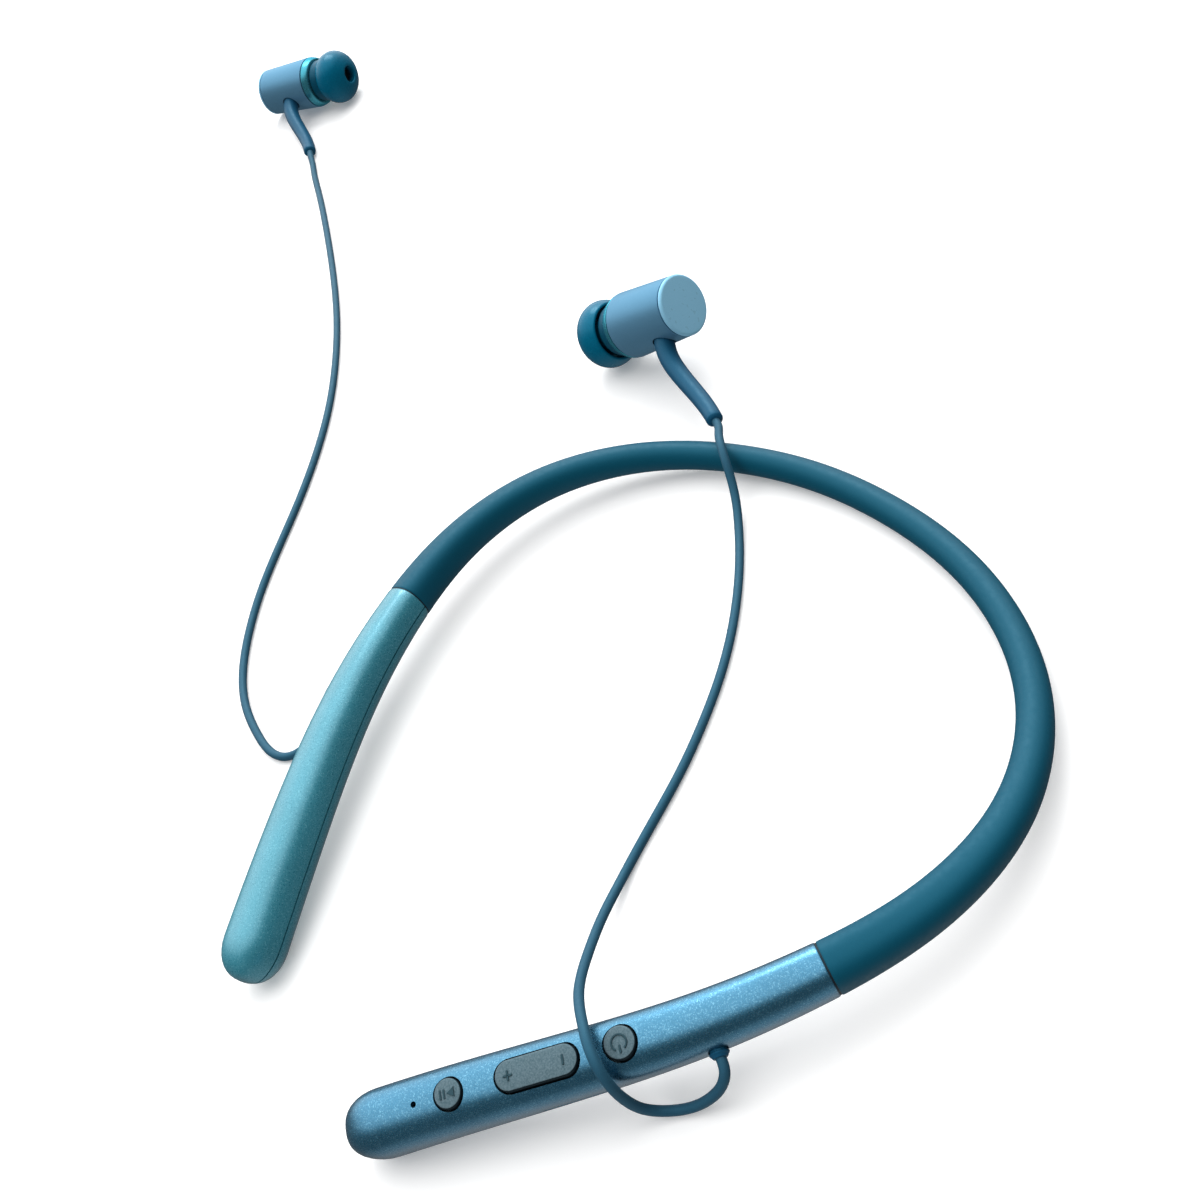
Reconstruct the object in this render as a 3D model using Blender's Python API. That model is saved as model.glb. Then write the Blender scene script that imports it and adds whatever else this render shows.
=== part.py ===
"""Neckband earphones, as an assembly of separate pieces.

Frame: metres, +Z up. The band lies on Z = 0 with its arch towards +Y and its two housings
towards -Y; the controls are on the right-hand (+X) housing. The origin is the middle of the
footprint of everything except the two free cords, on the surface that the earphones lie on.
"""

import math

import bmesh
import bpy
import numpy as np
from mathutils import Matrix, Vector

MM = 0.001
GAP = 0.3  # clearance between two pieces that touch, mm

# The band, mm. A station runs from -1 at the left tip, over 0 at the arch, to 1 at the right tip.
APEX = (113.74, 54.27)  # the arch's middle on the centreline, from the origin
HALF_PLAN = (
    (0.0, 0.0),
    (20.4, -2.0),
    (39.7, -8.7),
    (56.3, -20.5),
    (67.2, -37.7),
    (69.2, -57.9),
    (63.9, -77.7),
    (55.2, -96.2),
    (44.4, -113.6),
    (32.8, -130.5),
    (21.2, -147.4),
)
RISE = 5.7  # how far the arms bow up between the arch and the tips
ARCH_WIDTH = 5.8
TIP_WIDTH = 11.2
WIDEN_FROM = 0.15  # station where the sleeve starts to widen towards the housing
HEIGHT_RATIO = 1.03
SQUARENESS = 2.5  # superellipse exponent of the housing's section
LEAN = math.radians(16.0)  # how far the housings' top faces lean outwards
LAND = 0.35  # depth of the flat that the arch and the tips stand on
JOINT = 0.588  # station where the sleeve meets the housing
TIP_ROUND = 7.0
WALL = 1.1
SEAM = -0.30  # height of the seam between the shells, as a part of the half height

# Sleeve and its core, mm
BORE_RADIUS = 1.9
SPRING_RADIUS = 0.6
CABLE_RADIUS = 0.5
PLUG_IN = 6.0  # how far a joint plug reaches into the sleeve
PLUG_OUT = 5.0  # and into the housing

# Controls, mm. Each key slides along the top face's normal.
POWER_AT, ROCKER_AT, PLAY_AT, MICROPHONE_AT = 0.750, 0.8185, 0.894, 0.925
POWER_RADIUS, PLAY_RADIUS = 2.65, 2.45
ROCKER_LENGTH, ROCKER_WIDTH = 14.4, 5.0
KEY_PROUD = 0.5
KEY_DEPTH = 3.1
FLANGE_DEPTH = 2.7
SWITCH_GAP = 0.6
SWITCH_HEIGHT = 1.0
BOARD_THICKNESS = 1.0
FLAP_FROM, FLAP_TO = 0.776, 0.830
FLAP_TOP, FLAP_FOOT = math.radians(-6.0), math.radians(-58.0)
CORD_EXIT_AT = 0.686
SCREWS_AT = (0.645, 0.955)

# Ear bud, mm, along its own X axis: X = 0 is the front of the body, the tip is at +X.
BODY_LENGTH = 20.0
BODY_FRONT_RADIUS = 7.5
BODY_REAR_RADIUS = 6.8
TIP_RADIUS = 7.9
TIP_LENGTH = 11.4
TIP_BORE_RADIUS = 2.4
BOOT_AT = -11.5
BOOT_LENGTH = 33.0  # from the body's axis
BOOT_ROOT_RADIUS, BOOT_END_RADIUS = 2.25, 1.8
# Each bud: where the front of its body is, from the arch; the tip's direction as azimuth and
# elevation in degrees; where its boot ends.
BUDS = {
    "left": ((-280.5, 29.2, 7.67), (33.0, 2.4), (-260.65, 8.94, 2.0)),
    "right": ((-85.7, 3.6, 10.06), (204.0, -22.0), (-45.91, -4.17, 8.0)),
}

# Cords, mm from the arch: points chosen along each one's route.
CORD_RADIUS = 0.9
CORD_POINTS = 72
CORD_ROUTES = {
    "left": (
        (-64.8, -99.2, 6.2),
        (-65.0, -102.2, 4.2),
        (-64.2, -105.4, 2.5),
        (-63.2, -108.6, 1.4),
        (-62.8, -111.8, 1.0),
        (-64.2, -114.9, 1.0),
        (-67.2, -116.5, 1.0),
        (-70.8, -116.9, 1.0),
        (-75.6, -116.5, 1.0),
        (-82.2, -115.3, 1.0),
        (-88.4, -113.3, 1.0),
        (-94.3, -110.3, 1.0),
        (-104.7, -102.5, 1.0),
        (-113.6, -93.6, 1.0),
        (-121.8, -83.4, 1.0),
        (-130.2, -72.6, 1.0),
        (-139.7, -61.8, 1.0),
        (-150.7, -51.2, 1.0),
        (-163.9, -40.9, 1.0),
        (-179.4, -30.8, 1.0),
        (-197.4, -20.9, 1.0),
        (-217.9, -10.8, 1.0),
        (-240.8, -0.4, 1.0),
        (-251.0, 4.1, 1.0),
        (-255.0, 6.2, 1.4),
    ),
    "right": (
        (63.4, -99.0, 5.6),
        (62.4, -101.2, 3.6),
        (61.0, -103.2, 2.2),
        (59.6, -105.0, 1.6),
        (58.2, -106.7, 1.6),
        (56.9, -108.4, 2.4),
        (55.9, -109.9, 4.2),
        (55.2, -110.9, 7.2),
        (54.6, -111.3, 10.2),
        (53.9, -111.3, 13.4),
        (52.0, -110.8, 15.9),
        (49.3, -109.8, 17.0),
        (45.6, -108.2, 16.9),
        (41.4, -106.5, 15.4),
        (38.0, -104.9, 13.6),
        (33.3, -101.9, 10.6),
        (28.9, -98.4, 7.6),
        (24.8, -94.6, 4.9),
        (21.4, -90.6, 2.8),
        (18.7, -86.3, 1.5),
        (16.6, -82.0, 1.0),
        (13.3, -73.3, 1.0),
        (9.8, -64.4, 1.0),
        (5.6, -55.7, 1.0),
        (0.7, -47.1, 1.0),
        (-5.2, -38.7, 1.0),
        (-12.1, -30.7, 1.0),
        (-20.3, -22.8, 1.0),
        (-25.5, -18.2, 1.7),
        (-28.8, -15.3, 3.0),
        (-31.8, -12.9, 5.2),
        (-34.4, -11.1, 7.5),
        (-37.9, -8.9, 8.9),
        (-41.0, -6.9, 8.6),
    ),
}

# Colour, roughness and metallic of each material.
LOOKS = {
    "sleeve_silicone": ((0.02, 0.12, 0.18, 1.0), 0.60, 0.0),
    "teal_paint": ((0.10, 0.38, 0.46, 1.0), 0.32, 0.6),
    "blue_paint": ((0.07, 0.27, 0.46, 1.0), 0.32, 0.6),
    "key_rubber": ((0.09, 0.15, 0.17, 1.0), 0.55, 0.0),
    "black_plastic": ((0.02, 0.02, 0.025, 1.0), 0.50, 0.0),
    "bud_metal": ((0.20, 0.40, 0.58, 1.0), 0.30, 0.8),
    "ring_metal": ((0.16, 0.48, 0.55, 1.0), 0.30, 0.8),
    "neck_plastic": ((0.01, 0.10, 0.15, 1.0), 0.40, 0.0),
    "tip_silicone": ((0.01, 0.14, 0.22, 1.0), 0.35, 0.0),
    "cord_jacket": ((0.06, 0.16, 0.24, 1.0), 0.50, 0.0),
    "steel": ((0.60, 0.60, 0.62, 1.0), 0.30, 1.0),
    "board_green": ((0.02, 0.20, 0.08, 1.0), 0.50, 0.0),
    "battery_wrap": ((0.55, 0.57, 0.60, 1.0), 0.35, 0.6),
}


# Geometry helpers -------------------------------------------------------------------------


def smooth_curve(points, count):
    """A natural cubic spline through the points, as count points evenly spaced along it."""
    points = np.array(points, float)
    spans = np.linalg.norm(np.diff(points, axis=0), axis=1)
    knots = np.concatenate([[0.0], np.cumsum(spans)])
    last = len(points) - 1
    system = np.eye(last + 1)
    pull = np.zeros_like(points)
    slopes = np.diff(points, axis=0) / spans[:, None]
    for i in range(1, last):
        system[i, i - 1 : i + 2] = spans[i - 1], 2 * (spans[i - 1] + spans[i]), spans[i]
        pull[i] = 6 * (slopes[i] - slopes[i - 1])
    bend = np.linalg.solve(system, pull)
    fine = np.linspace(0, knots[-1], 60 * last)
    span = np.clip(np.searchsorted(knots, fine, side="right") - 1, 0, last - 1)
    width = spans[span][:, None]
    left = (knots[span + 1] - fine)[:, None] / width
    right = 1 - left
    curve = left * points[span] + right * points[span + 1]
    curve += ((left**3 - left) * bend[span] + (right**3 - right) * bend[span + 1]) * width**2 / 6
    along = np.concatenate([[0], np.cumsum(np.linalg.norm(np.diff(curve, axis=0), axis=1))])
    even = np.linspace(0, along[-1], count)
    return np.stack([np.interp(even, along, column) for column in curve.T], axis=1)


def smoothstep(value):
    value = min(max(value, 0.0), 1.0)
    return value * value * (3 - 2 * value)


PLAN = smooth_curve([(-x, y) for x, y in HALF_PLAN[:0:-1]] + list(HALF_PLAN), 801)
HALF_LENGTH = np.linalg.norm(np.diff(PLAN, axis=0), axis=1).sum() / 2


def half_width(at):
    widen = smoothstep((abs(at) - WIDEN_FROM) / (1 - WIDEN_FROM))
    return (ARCH_WIDTH + (TIP_WIDTH - ARCH_WIDTH) * widen) / 2


def squareness(at):
    return 2.0 + (SQUARENESS - 2.0) * smoothstep((abs(at) - 0.2) / 0.4)


def lean(at):
    return LEAN * smoothstep((abs(at) - 0.30) / 0.35)


def centre(at):
    """A point of the band's centreline."""
    x, y = (np.interp(at, np.linspace(-1, 1, len(PLAN)), PLAN[:, k]) for k in (0, 1))
    depth = min(max(y / PLAN[0, 1], 0.0), 1.0)
    wide = half_width(at)
    power = squareness(at) / (squareness(at) - 1)
    across = (wide * math.sin(lean(at))) ** power
    upright = (wide * HEIGHT_RATIO * math.cos(lean(at))) ** power
    foot = (across + upright) ** (1 / power) - LAND
    return Vector((x, y, foot + 4 * RISE * depth * (1 - depth)))


def station(at):
    """Centre and the tangent, outward and upward directions of the band's section."""
    step = 0.004
    tangent = (centre(min(at + step, 1)) - centre(max(at - step, -1))).normalized()
    level_out = Vector((-tangent.y, tangent.x, 0)).normalized()
    upright = tangent.cross(level_out)
    turn = lean(at)
    out = level_out * math.cos(turn) - upright * math.sin(turn)
    up = upright * math.cos(turn) + level_out * math.sin(turn)
    return centre(at), tangent, out, up


def ring_point(at, angle, inset=0.0, scale=1.0):
    """A point of the section's outline, inset into it, at an angle from its outward side."""
    middle, _, out, up = station(at)
    wide = (half_width(at) - inset) * scale
    tall = (half_width(at) * HEIGHT_RATIO - inset) * scale
    power = 2 / squareness(at)
    x = math.copysign(abs(math.cos(angle)) ** power, math.cos(angle)) * wide
    y = math.copysign(abs(math.sin(angle)) ** power, math.sin(angle)) * tall
    return middle + out * x + up * y


def ring(at, inset=0.0, scale=1.0, sides=24, shift=0.0):
    """The whole outline. The part of an outside that would be under the surface is flat."""
    push = station(at)[1] * shift
    points = [ring_point(at, 2 * math.pi * k / sides, inset, scale) + push for k in range(sides)]
    if inset == 0.0:
        for point in points:
            point.z = max(point.z, 0.0)
    return points


def round_ring(at, radius, aside=0.0, sides=24, shift=0.0):
    """A circle in the band's section, aside of its centre."""
    middle, tangent, out, up = station(at)
    middle = middle + out * aside + tangent * shift
    angles = [2 * math.pi * k / sides for k in range(sides)]
    return [middle + (out * math.cos(a) + up * math.sin(a)) * radius for a in angles]


def section_frame(at, height=0.0, aside=0.0):
    """Matrix whose X, Y and Z are the band's tangent, outward and upward directions, in mm."""
    middle, tangent, out, up = station(at)
    matrix = Matrix((tangent, out, up)).transposed().to_4x4()
    matrix.translation = middle + out * aside + up * height
    return matrix


def placed(matrix):
    """The same frame in metres, moved from the arch to the part's origin."""
    matrix = matrix.copy()
    matrix.translation = (matrix.translation + Vector((*APEX, 0))) * MM
    return matrix


# Object helpers ---------------------------------------------------------------------------


def material(name):
    made = bpy.data.materials.get(name)
    if made is None:
        made = bpy.data.materials.new(name)
        made.use_nodes = True
        shader = made.node_tree.nodes["Principled BSDF"]
        colour, roughness, metallic = LOOKS[name]
        shader.inputs["Base Color"].default_value = colour
        shader.inputs["Roughness"].default_value = roughness
        shader.inputs["Metallic"].default_value = metallic
    return made


def solid(name, points, faces, look=None, matrix=None):
    """A mesh object from points in mm, in the frame given or in the band's own."""
    mesh = bpy.data.meshes.new(name)
    if matrix is None:
        origin = Vector((*APEX, 0))
        points = [(Vector(point) + origin) * MM for point in points]
    else:
        points = [Vector(point) * MM for point in points]
    mesh.from_pydata(points, [], faces)
    shape = bmesh.new()
    shape.from_mesh(mesh)
    bmesh.ops.recalc_face_normals(shape, faces=shape.faces)
    shape.to_mesh(mesh)
    shape.free()
    mesh.shade_smooth()
    mesh.set_sharp_from_angle(angle=math.radians(40))
    made = bpy.data.objects.new(name, mesh)
    bpy.context.scene.collection.objects.link(made)
    if matrix is not None:
        made.matrix_world = placed(matrix)
    if look is None:
        made.hide_render = True
        made.display_type = "WIRE"
    else:
        mesh.materials.append(material(look))
    return made


def side_faces(rings, sides):
    return [
        (r * sides + k, r * sides + (k + 1) % sides, (r + 1) * sides + (k + 1) % sides, (r + 1) * sides + k)
        for r in range(rings - 1)
        for k in range(sides)
    ]


def loft(name, rings, look=None, matrix=None):
    """A solid skinned over rings of equally many points, with flat ends."""
    sides = len(rings[0])
    faces = side_faces(len(rings), sides)
    faces.append(tuple(range(sides)))
    faces.append(tuple(range((len(rings) - 1) * sides, len(rings) * sides)))
    return solid(name, [point for one in rings for point in one], faces, look, matrix)


def tube(name, outside, inside, look=None, matrix=None):
    """A solid between two skins, open right through."""
    sides = len(outside[0])
    rings = outside + inside[::-1]
    faces = side_faces(len(rings), sides)
    last = (len(rings) - 1) * sides
    faces += [(last + k, last + (k + 1) % sides, (k + 1) % sides, k) for k in range(sides)]
    return solid(name, [point for one in rings for point in one], faces, look, matrix)


def circle(radius, height, sides=20):
    angles = [2 * math.pi * k / sides for k in range(sides)]
    return [(radius * math.cos(a), radius * math.sin(a), height) for a in angles]


def stadium(length, width, height, sides=24):
    """A slot outline along X."""
    points = []
    for k in range(sides):
        angle = 2 * math.pi * (k + 0.5) / sides
        shift = math.copysign((length - width) / 2, math.cos(angle))
        points.append((shift + width / 2 * math.cos(angle), width / 2 * math.sin(angle), height))
    return points


def box_ring(wide, deep, height, corner=0.3):
    """A rectangle with its corners cut."""
    x, y = wide / 2, deep / 2
    turns = ((1, 1), (-1, 1), (-1, -1), (1, -1))
    points = []
    for sx, sy in turns:
        near = (sx * (x - corner), sy * y, height)
        far = (sx * x, sy * (y - corner), height)
        points += [far, near] if sx * sy > 0 else [near, far]
    return points


def block(name, size, look, matrix, corner=0.3):
    """A box with its upright edges cut, centred in the frame."""
    wide, deep, tall = size
    rings = [box_ring(wide, deep, height, corner) for height in (-tall / 2, tall / 2)]
    return loft(name, rings, look, matrix)


def turned(name, profile, look=None, matrix=None, sides=20, hollow=False):
    """A body of revolution about X from (x, radius) points; hollow joins the last to the first."""
    points, rows = [], []
    for x, radius in profile:
        if radius == 0:
            rows.append([len(points)])
            points.append((x, 0, 0))
            continue
        rows.append(list(range(len(points), len(points) + sides)))
        angles = [2 * math.pi * k / sides for k in range(sides)]
        points += [(x, radius * math.cos(a), radius * math.sin(a)) for a in angles]
    faces = []
    pairs = list(zip(rows, rows[1:]))
    if hollow:
        pairs.append((rows[-1], rows[0]))
    for one, two in pairs:
        for k in range(sides):
            following = (k + 1) % sides
            if len(one) == 1:
                faces.append((one[0], two[k], two[following]))
            elif len(two) == 1:
                faces.append((one[following], one[k], two[0]))
            else:
                faces.append((one[k], two[k], two[following], one[following]))
    return solid(name, points, faces, look, matrix)


def combine(piece, other, operation="DIFFERENCE"):
    change = piece.modifiers.new(other.name, "BOOLEAN")
    change.operation = operation
    change.object = other


def drill(piece, name, radius, low, high, matrix, sides=20):
    """A round hole along the frame's Z."""
    rings = [circle(radius, low, sides), circle(radius, high, sides)]
    combine(piece, loft(name, rings, matrix=matrix))


# The band ---------------------------------------------------------------------------------


def make_sleeve():
    """Soft sleeve over the arch, with the spring wire and the link cable in its bore."""
    end = JOINT - GAP / 2 / HALF_LENGTH
    socket = JOINT - (PLUG_IN + 1.0) / HALF_LENGTH
    stations = list(np.linspace(-socket, socket, 29))
    outer_at = [-end] + stations + [end]
    outside = [ring(at, sides=16) for at in outer_at]
    bore = [round_ring(at, BORE_RADIUS, sides=16) for at in stations]
    step = 0.1 / HALF_LENGTH
    wide = [ring(at, inset=WALL, sides=16) for at in (-end, -socket - step, socket + step, end)]
    inside = wide[:2] + bore + wide[2:]
    tube("neck_sleeve", outside, inside, "sleeve_silicone")
    reach = JOINT + 0.01
    core_at = [-reach] + stations + [reach]
    wires = (
        ("spring_wire", SPRING_RADIUS, -0.85, "steel"),
        ("link_cable", CABLE_RADIUS, 0.9, "black_plastic"),
    )
    for name, radius, aside, look in wires:
        loft(name, [round_ring(at, radius, aside, sides=6) for at in core_at], look)


def make_neck_plug(side, sign):
    """Hollow plug that joins the sleeve to the housing."""
    near = sign * (JOINT - PLUG_IN / HALF_LENGTH)
    far = sign * (JOINT + PLUG_OUT / HALF_LENGTH)
    places = (near, sign * JOINT, far)
    outside = [ring(at, inset=WALL + GAP, sides=16) for at in places]
    inside = [round_ring(at, BORE_RADIUS, sides=16) for at in places]
    tube(f"{side}_neck_plug", outside, inside, "black_plastic")


def housing_rings(sign, inset, sides=20):
    """Rings of a housing's outside, rounded over at the tip."""
    start = JOINT + GAP / 2 / HALF_LENGTH
    shoulder = 1 - TIP_ROUND / HALF_LENGTH
    rings = [ring(sign * at, inset, sides=sides) for at in np.linspace(start, shoulder, 10)]
    for k in range(1, 6):
        angle = math.radians(90 * k / 5.3)
        at = shoulder + TIP_ROUND / HALF_LENGTH * math.sin(angle)
        rings.append(ring(sign * at, inset, scale=math.cos(angle) ** 0.8, sides=sides))
    return rings


def cavity_rings(sign):
    """Rings of a housing's hollow, which runs out through its joint end."""
    rings = [ring(sign * JOINT, WALL, sides=16, shift=-sign * 1.0)]
    stops = np.linspace(JOINT, 1 - TIP_ROUND / HALF_LENGTH, 8)
    rings += [ring(sign * at, WALL, sides=16) for at in stops[1:]]
    rings.append(ring(sign * (1 - 4.2 / HALF_LENGTH), WALL, scale=0.72, sides=16))
    return rings


def half_space(name, sign, above):
    """A thick ribbon that holds everything above, or below, the seam."""
    edge = GAP / 2 if not above else -GAP / 2
    rings = []
    for at in np.linspace(JOINT, 1, 12):
        middle, tangent, out, up = station(sign * at)
        level = SEAM * half_width(at) * HEIGHT_RATIO + edge
        beyond = {JOINT: -2.0, 1.0: 3.0}.get(at, 0.0) * sign
        far = 20.0 if above else -20.0
        corners = ((-14, level), (14, level), (14, far), (-14, far))
        rings.append([middle + tangent * beyond + out * x + up * y for x, y in corners])
    return loft(name, rings)


def make_shells(side, sign, look):
    """Top and bottom shell of a housing, with the screw pillars and the cord's exit."""
    hollow = loft(f"cutter_{side}_hollow", cavity_rings(sign))
    outline = housing_rings(sign, 0.0)
    top = loft(f"{side}_top_shell", outline, look)
    bottom = loft(f"{side}_bottom_shell", outline, look)
    for shell, above in ((top, False), (bottom, True)):
        combine(shell, hollow)
        combine(shell, half_space(f"cutter_{side}_{'above' if above else 'below'}", sign, above))
    for number, at in enumerate(SCREWS_AT, 1):
        make_screw(side, sign, number, at, top, bottom)
    exit_frame = section_frame(sign * CORD_EXIT_AT)
    wide = half_width(CORD_EXIT_AT)
    outward = exit_frame @ Matrix.Rotation(math.radians(-90), 4, "X")
    drill(top, f"cutter_{side}_exit", 1.4 + GAP, wide - 2.0, wide + 1.0, outward)
    axis = exit_frame @ Matrix.Rotation(math.radians(90), 4, "Z")
    axis.translation = exit_frame.translation + exit_frame.to_3x3() @ Vector((0, wide, 0))
    grommet = [(-2.6, 0), (-2.6, 2.0), (-1.6, 2.0), (-1.6, 1.4), (GAP, 1.4), (GAP, 1.7)]
    grommet += [(0.6, 1.6), (0.75, 1.4), (0.75, 0)]
    turned(f"{side}_cord_grommet", grommet, "black_plastic", axis, sides=16)
    return top, bottom


def make_screw(side, sign, number, at, top, bottom):
    """A small screw from the underside, with its pillar in each shell."""
    frame = section_frame(sign * at)
    tall = half_width(at) * HEIGHT_RATIO
    seam = SEAM * tall
    label = f"{side}_{number}"
    boss = [circle(1.6, seam + GAP / 2, 12), circle(1.6, tall - WALL / 2, 12)]
    pillar = [circle(2.2, -tall + WALL / 2, 12), circle(2.2, seam - GAP / 2, 12)]
    combine(top, loft(f"cutter_boss_{label}", boss, matrix=frame), "UNION")
    combine(bottom, loft(f"cutter_pillar_{label}", pillar, matrix=frame), "UNION")
    drill(top, f"cutter_thread_{label}", 0.6 + GAP, seam - 1.0, seam + 3.2, frame, 10)
    drill(bottom, f"cutter_shank_{label}", 0.6 + GAP, -tall, seam + 1.0, frame, 10)
    drill(bottom, f"cutter_head_{label}", 1.2 + GAP, -tall - 3.0, -tall + 1.7, frame, 12)
    rings = [circle(1.2, -tall + 0.6, 10), circle(1.2, -tall + 1.4, 10)]
    rings += [circle(0.6, -tall + 1.4, 10), circle(0.6, seam + 2.9, 10)]
    loft(f"{side}_screw_{number}", rings, "steel", frame)


# Controls and electronics -----------------------------------------------------------------


def make_round_key(name, at, radius, shell):
    """A round key, its hole in the shell and the switch under it."""
    crown = half_width(at) * HEIGHT_RATIO
    frame = section_frame(at, height=crown)
    rings = [circle(radius + 0.5, -KEY_DEPTH), circle(radius + 0.5, -FLANGE_DEPTH)]
    rings += [circle(radius, -FLANGE_DEPTH), circle(radius, KEY_PROUD - 0.25)]
    rings.append(circle(radius - 0.3, KEY_PROUD))
    loft(name, rings, "key_rubber", frame)
    drill(shell, f"cutter_{name}", radius + GAP, -3.0, 3.0, frame, 24)
    make_switch(f"{name}_switch", at)


def make_switch(name, at):
    crown = half_width(at) * HEIGHT_RATIO
    middle = crown - KEY_DEPTH - SWITCH_GAP - SWITCH_HEIGHT / 2
    block(name, (2.8, 2.8, SWITCH_HEIGHT), "steel", section_frame(at, height=middle))


def make_rocker(shell):
    """Volume rocker. Its frame is on its pivot, which runs across the band."""
    crown = half_width(ROCKER_AT) * HEIGHT_RATIO
    pivot = 2.4
    frame = section_frame(ROCKER_AT, height=crown - pivot)
    foot = pivot - KEY_DEPTH
    lip = pivot - FLANGE_DEPTH
    top = pivot + KEY_PROUD
    rings = [stadium(ROCKER_LENGTH + 1.0, ROCKER_WIDTH, height) for height in (foot, lip)]
    rings += [stadium(ROCKER_LENGTH, ROCKER_WIDTH, height) for height in (lip, top - 0.25)]
    rings.append(stadium(ROCKER_LENGTH - 0.6, ROCKER_WIDTH - 0.6, top))
    loft("volume_rocker", rings, "key_rubber", frame)
    hole = [stadium(ROCKER_LENGTH + 2 * GAP, ROCKER_WIDTH + 2 * GAP, h) for h in (0.0, 5.0)]
    combine(shell, loft("cutter_rocker", hole, matrix=frame))
    for name, away in (("volume_up_switch", 4.8), ("volume_down_switch", -4.8)):
        make_switch(name, ROCKER_AT + away / HALF_LENGTH)


def wall_patch(name, ends, angles, insets, look=None):
    """A piece of the housing's wall between two stations and two angles of its section."""
    rings = []
    for at in np.linspace(*ends, 5):
        line = list(np.linspace(*angles, 5))
        outer = [ring_point(at, angle, insets[0]) for angle in line]
        inner = [ring_point(at, angle, insets[1]) for angle in line[::-1]]
        rings.append(outer + inner)
    return loft(name, rings, look)


def make_port(top, bottom):
    """Charging socket behind a soft flap that hinges along its lower edge."""
    wall_patch("port_flap", (FLAP_FROM, FLAP_TO), (FLAP_FOOT, FLAP_TOP), (0.0, 0.9), "key_rubber")
    step = GAP / HALF_LENGTH
    turn = GAP / half_width(FLAP_FROM)
    ends = (FLAP_FROM - step, FLAP_TO + step)
    angles = (FLAP_FOOT - turn, FLAP_TOP + 0.9 * turn)
    opening = wall_patch("cutter_port", ends, angles, (-1.5, 2.0))
    combine(bottom, opening)
    combine(top, opening)
    middle = (FLAP_FROM + FLAP_TO) / 2
    frame = section_frame(middle, height=-2.25, aside=0.1)
    block("usb_socket", (7.4, 4.6, 2.4), "steel", frame)


def make_board():
    """Main board, which follows the housing, and what is mounted on it."""
    rings = []
    for at in np.linspace(0.735, 0.940, 8):
        middle, _, out, up = station(at)
        crown = half_width(at) * HEIGHT_RATIO
        top = crown - KEY_DEPTH - SWITCH_GAP - SWITCH_HEIGHT - GAP
        corners = ((-2.8, top - BOARD_THICKNESS), (2.8, top - BOARD_THICKNESS), (2.8, top), (-2.8, top))
        rings.append([middle + out * x + up * y for x, y in corners])
    loft("main_board", rings, "board_green")
    crown = half_width(MICROPHONE_AT) * HEIGHT_RATIO
    top = crown - KEY_DEPTH - SWITCH_GAP - SWITCH_HEIGHT
    block("microphone", (2.6, 1.9, 0.9), "steel", section_frame(MICROPHONE_AT, height=top + 0.45))
    under = section_frame(0.895, height=top - BOARD_THICKNESS - 2 * GAP - 0.45)
    block("radio_chip", (4.6, 4.2, 0.9), "black_plastic", under)


def make_battery():
    frame = section_frame(-0.822)
    block("battery", (36.0, 5.2, 4.7), "battery_wrap", frame, corner=0.6)
    block("battery_board", (5.0, 4.6, 0.9), "board_green", section_frame(-0.718))


# Ear buds and cords -----------------------------------------------------------------------


def bud_frame(place, heading):
    """Frame with its origin at the front of the body and X towards the tip."""
    azimuth, elevation = (math.radians(value) for value in heading)
    matrix = Matrix.Rotation(azimuth, 4, "Z") @ Matrix.Rotation(-elevation, 4, "Y")
    matrix.translation = Vector(place)
    return matrix


def bezier(handles, t):
    """Point and direction along a cubic curve."""
    a, b, c, d = handles
    s = 1 - t
    point = a * s**3 + b * (3 * s * s * t) + c * (3 * s * t * t) + d * t**3
    ahead = (b - a) * s * s + (c - b) * (2 * s * t) + (d - c) * t * t
    return point, ahead.normalized()


def make_boot(side, frame, end):
    """Strain relief, slightly bent between the body and where the cord leaves it."""
    axis = frame.col[0].to_3d()
    root = frame @ Vector((BOOT_AT, 0, 0))
    straight = (Vector(end) - root).normalized()
    square = (straight - axis * straight.dot(axis)).normalized()
    leave = (straight + square).normalized()
    end = root + straight * BOOT_LENGTH
    level = Vector((straight.x, straight.y, 0)).normalized()
    start = root + leave * 8.6
    handles = (start, start + leave * 6.0, end - level * 10.0, end)
    stops = [(root + leave * 4.6, leave, 0.0)]
    stops += [(*bezier(handles, k / 6), k / 6) for k in range(7)]
    stops.append((end + level * 0.5, level, 1.0))
    rings = []
    for number, (middle, ahead, t) in enumerate(stops):
        beside = ahead.cross(Vector((0, 0, 1))).normalized()
        over = beside.cross(ahead)
        radius = BOOT_ROOT_RADIUS + (BOOT_END_RADIUS - BOOT_ROOT_RADIUS) * t
        if number == len(stops) - 1:
            radius -= 0.5
        angles = [2 * math.pi * n / 12 for n in range(12)]
        rings.append([middle + (beside * math.cos(a) + over * math.sin(a)) * radius for a in angles])
    loft(f"{side}_cord_boot", rings, "cord_jacket")
    hole = Matrix.Translation(root) @ leave.to_track_quat("Z", "Y").to_matrix().to_4x4()
    return hole, end + level * (0.5 + GAP), level


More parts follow.
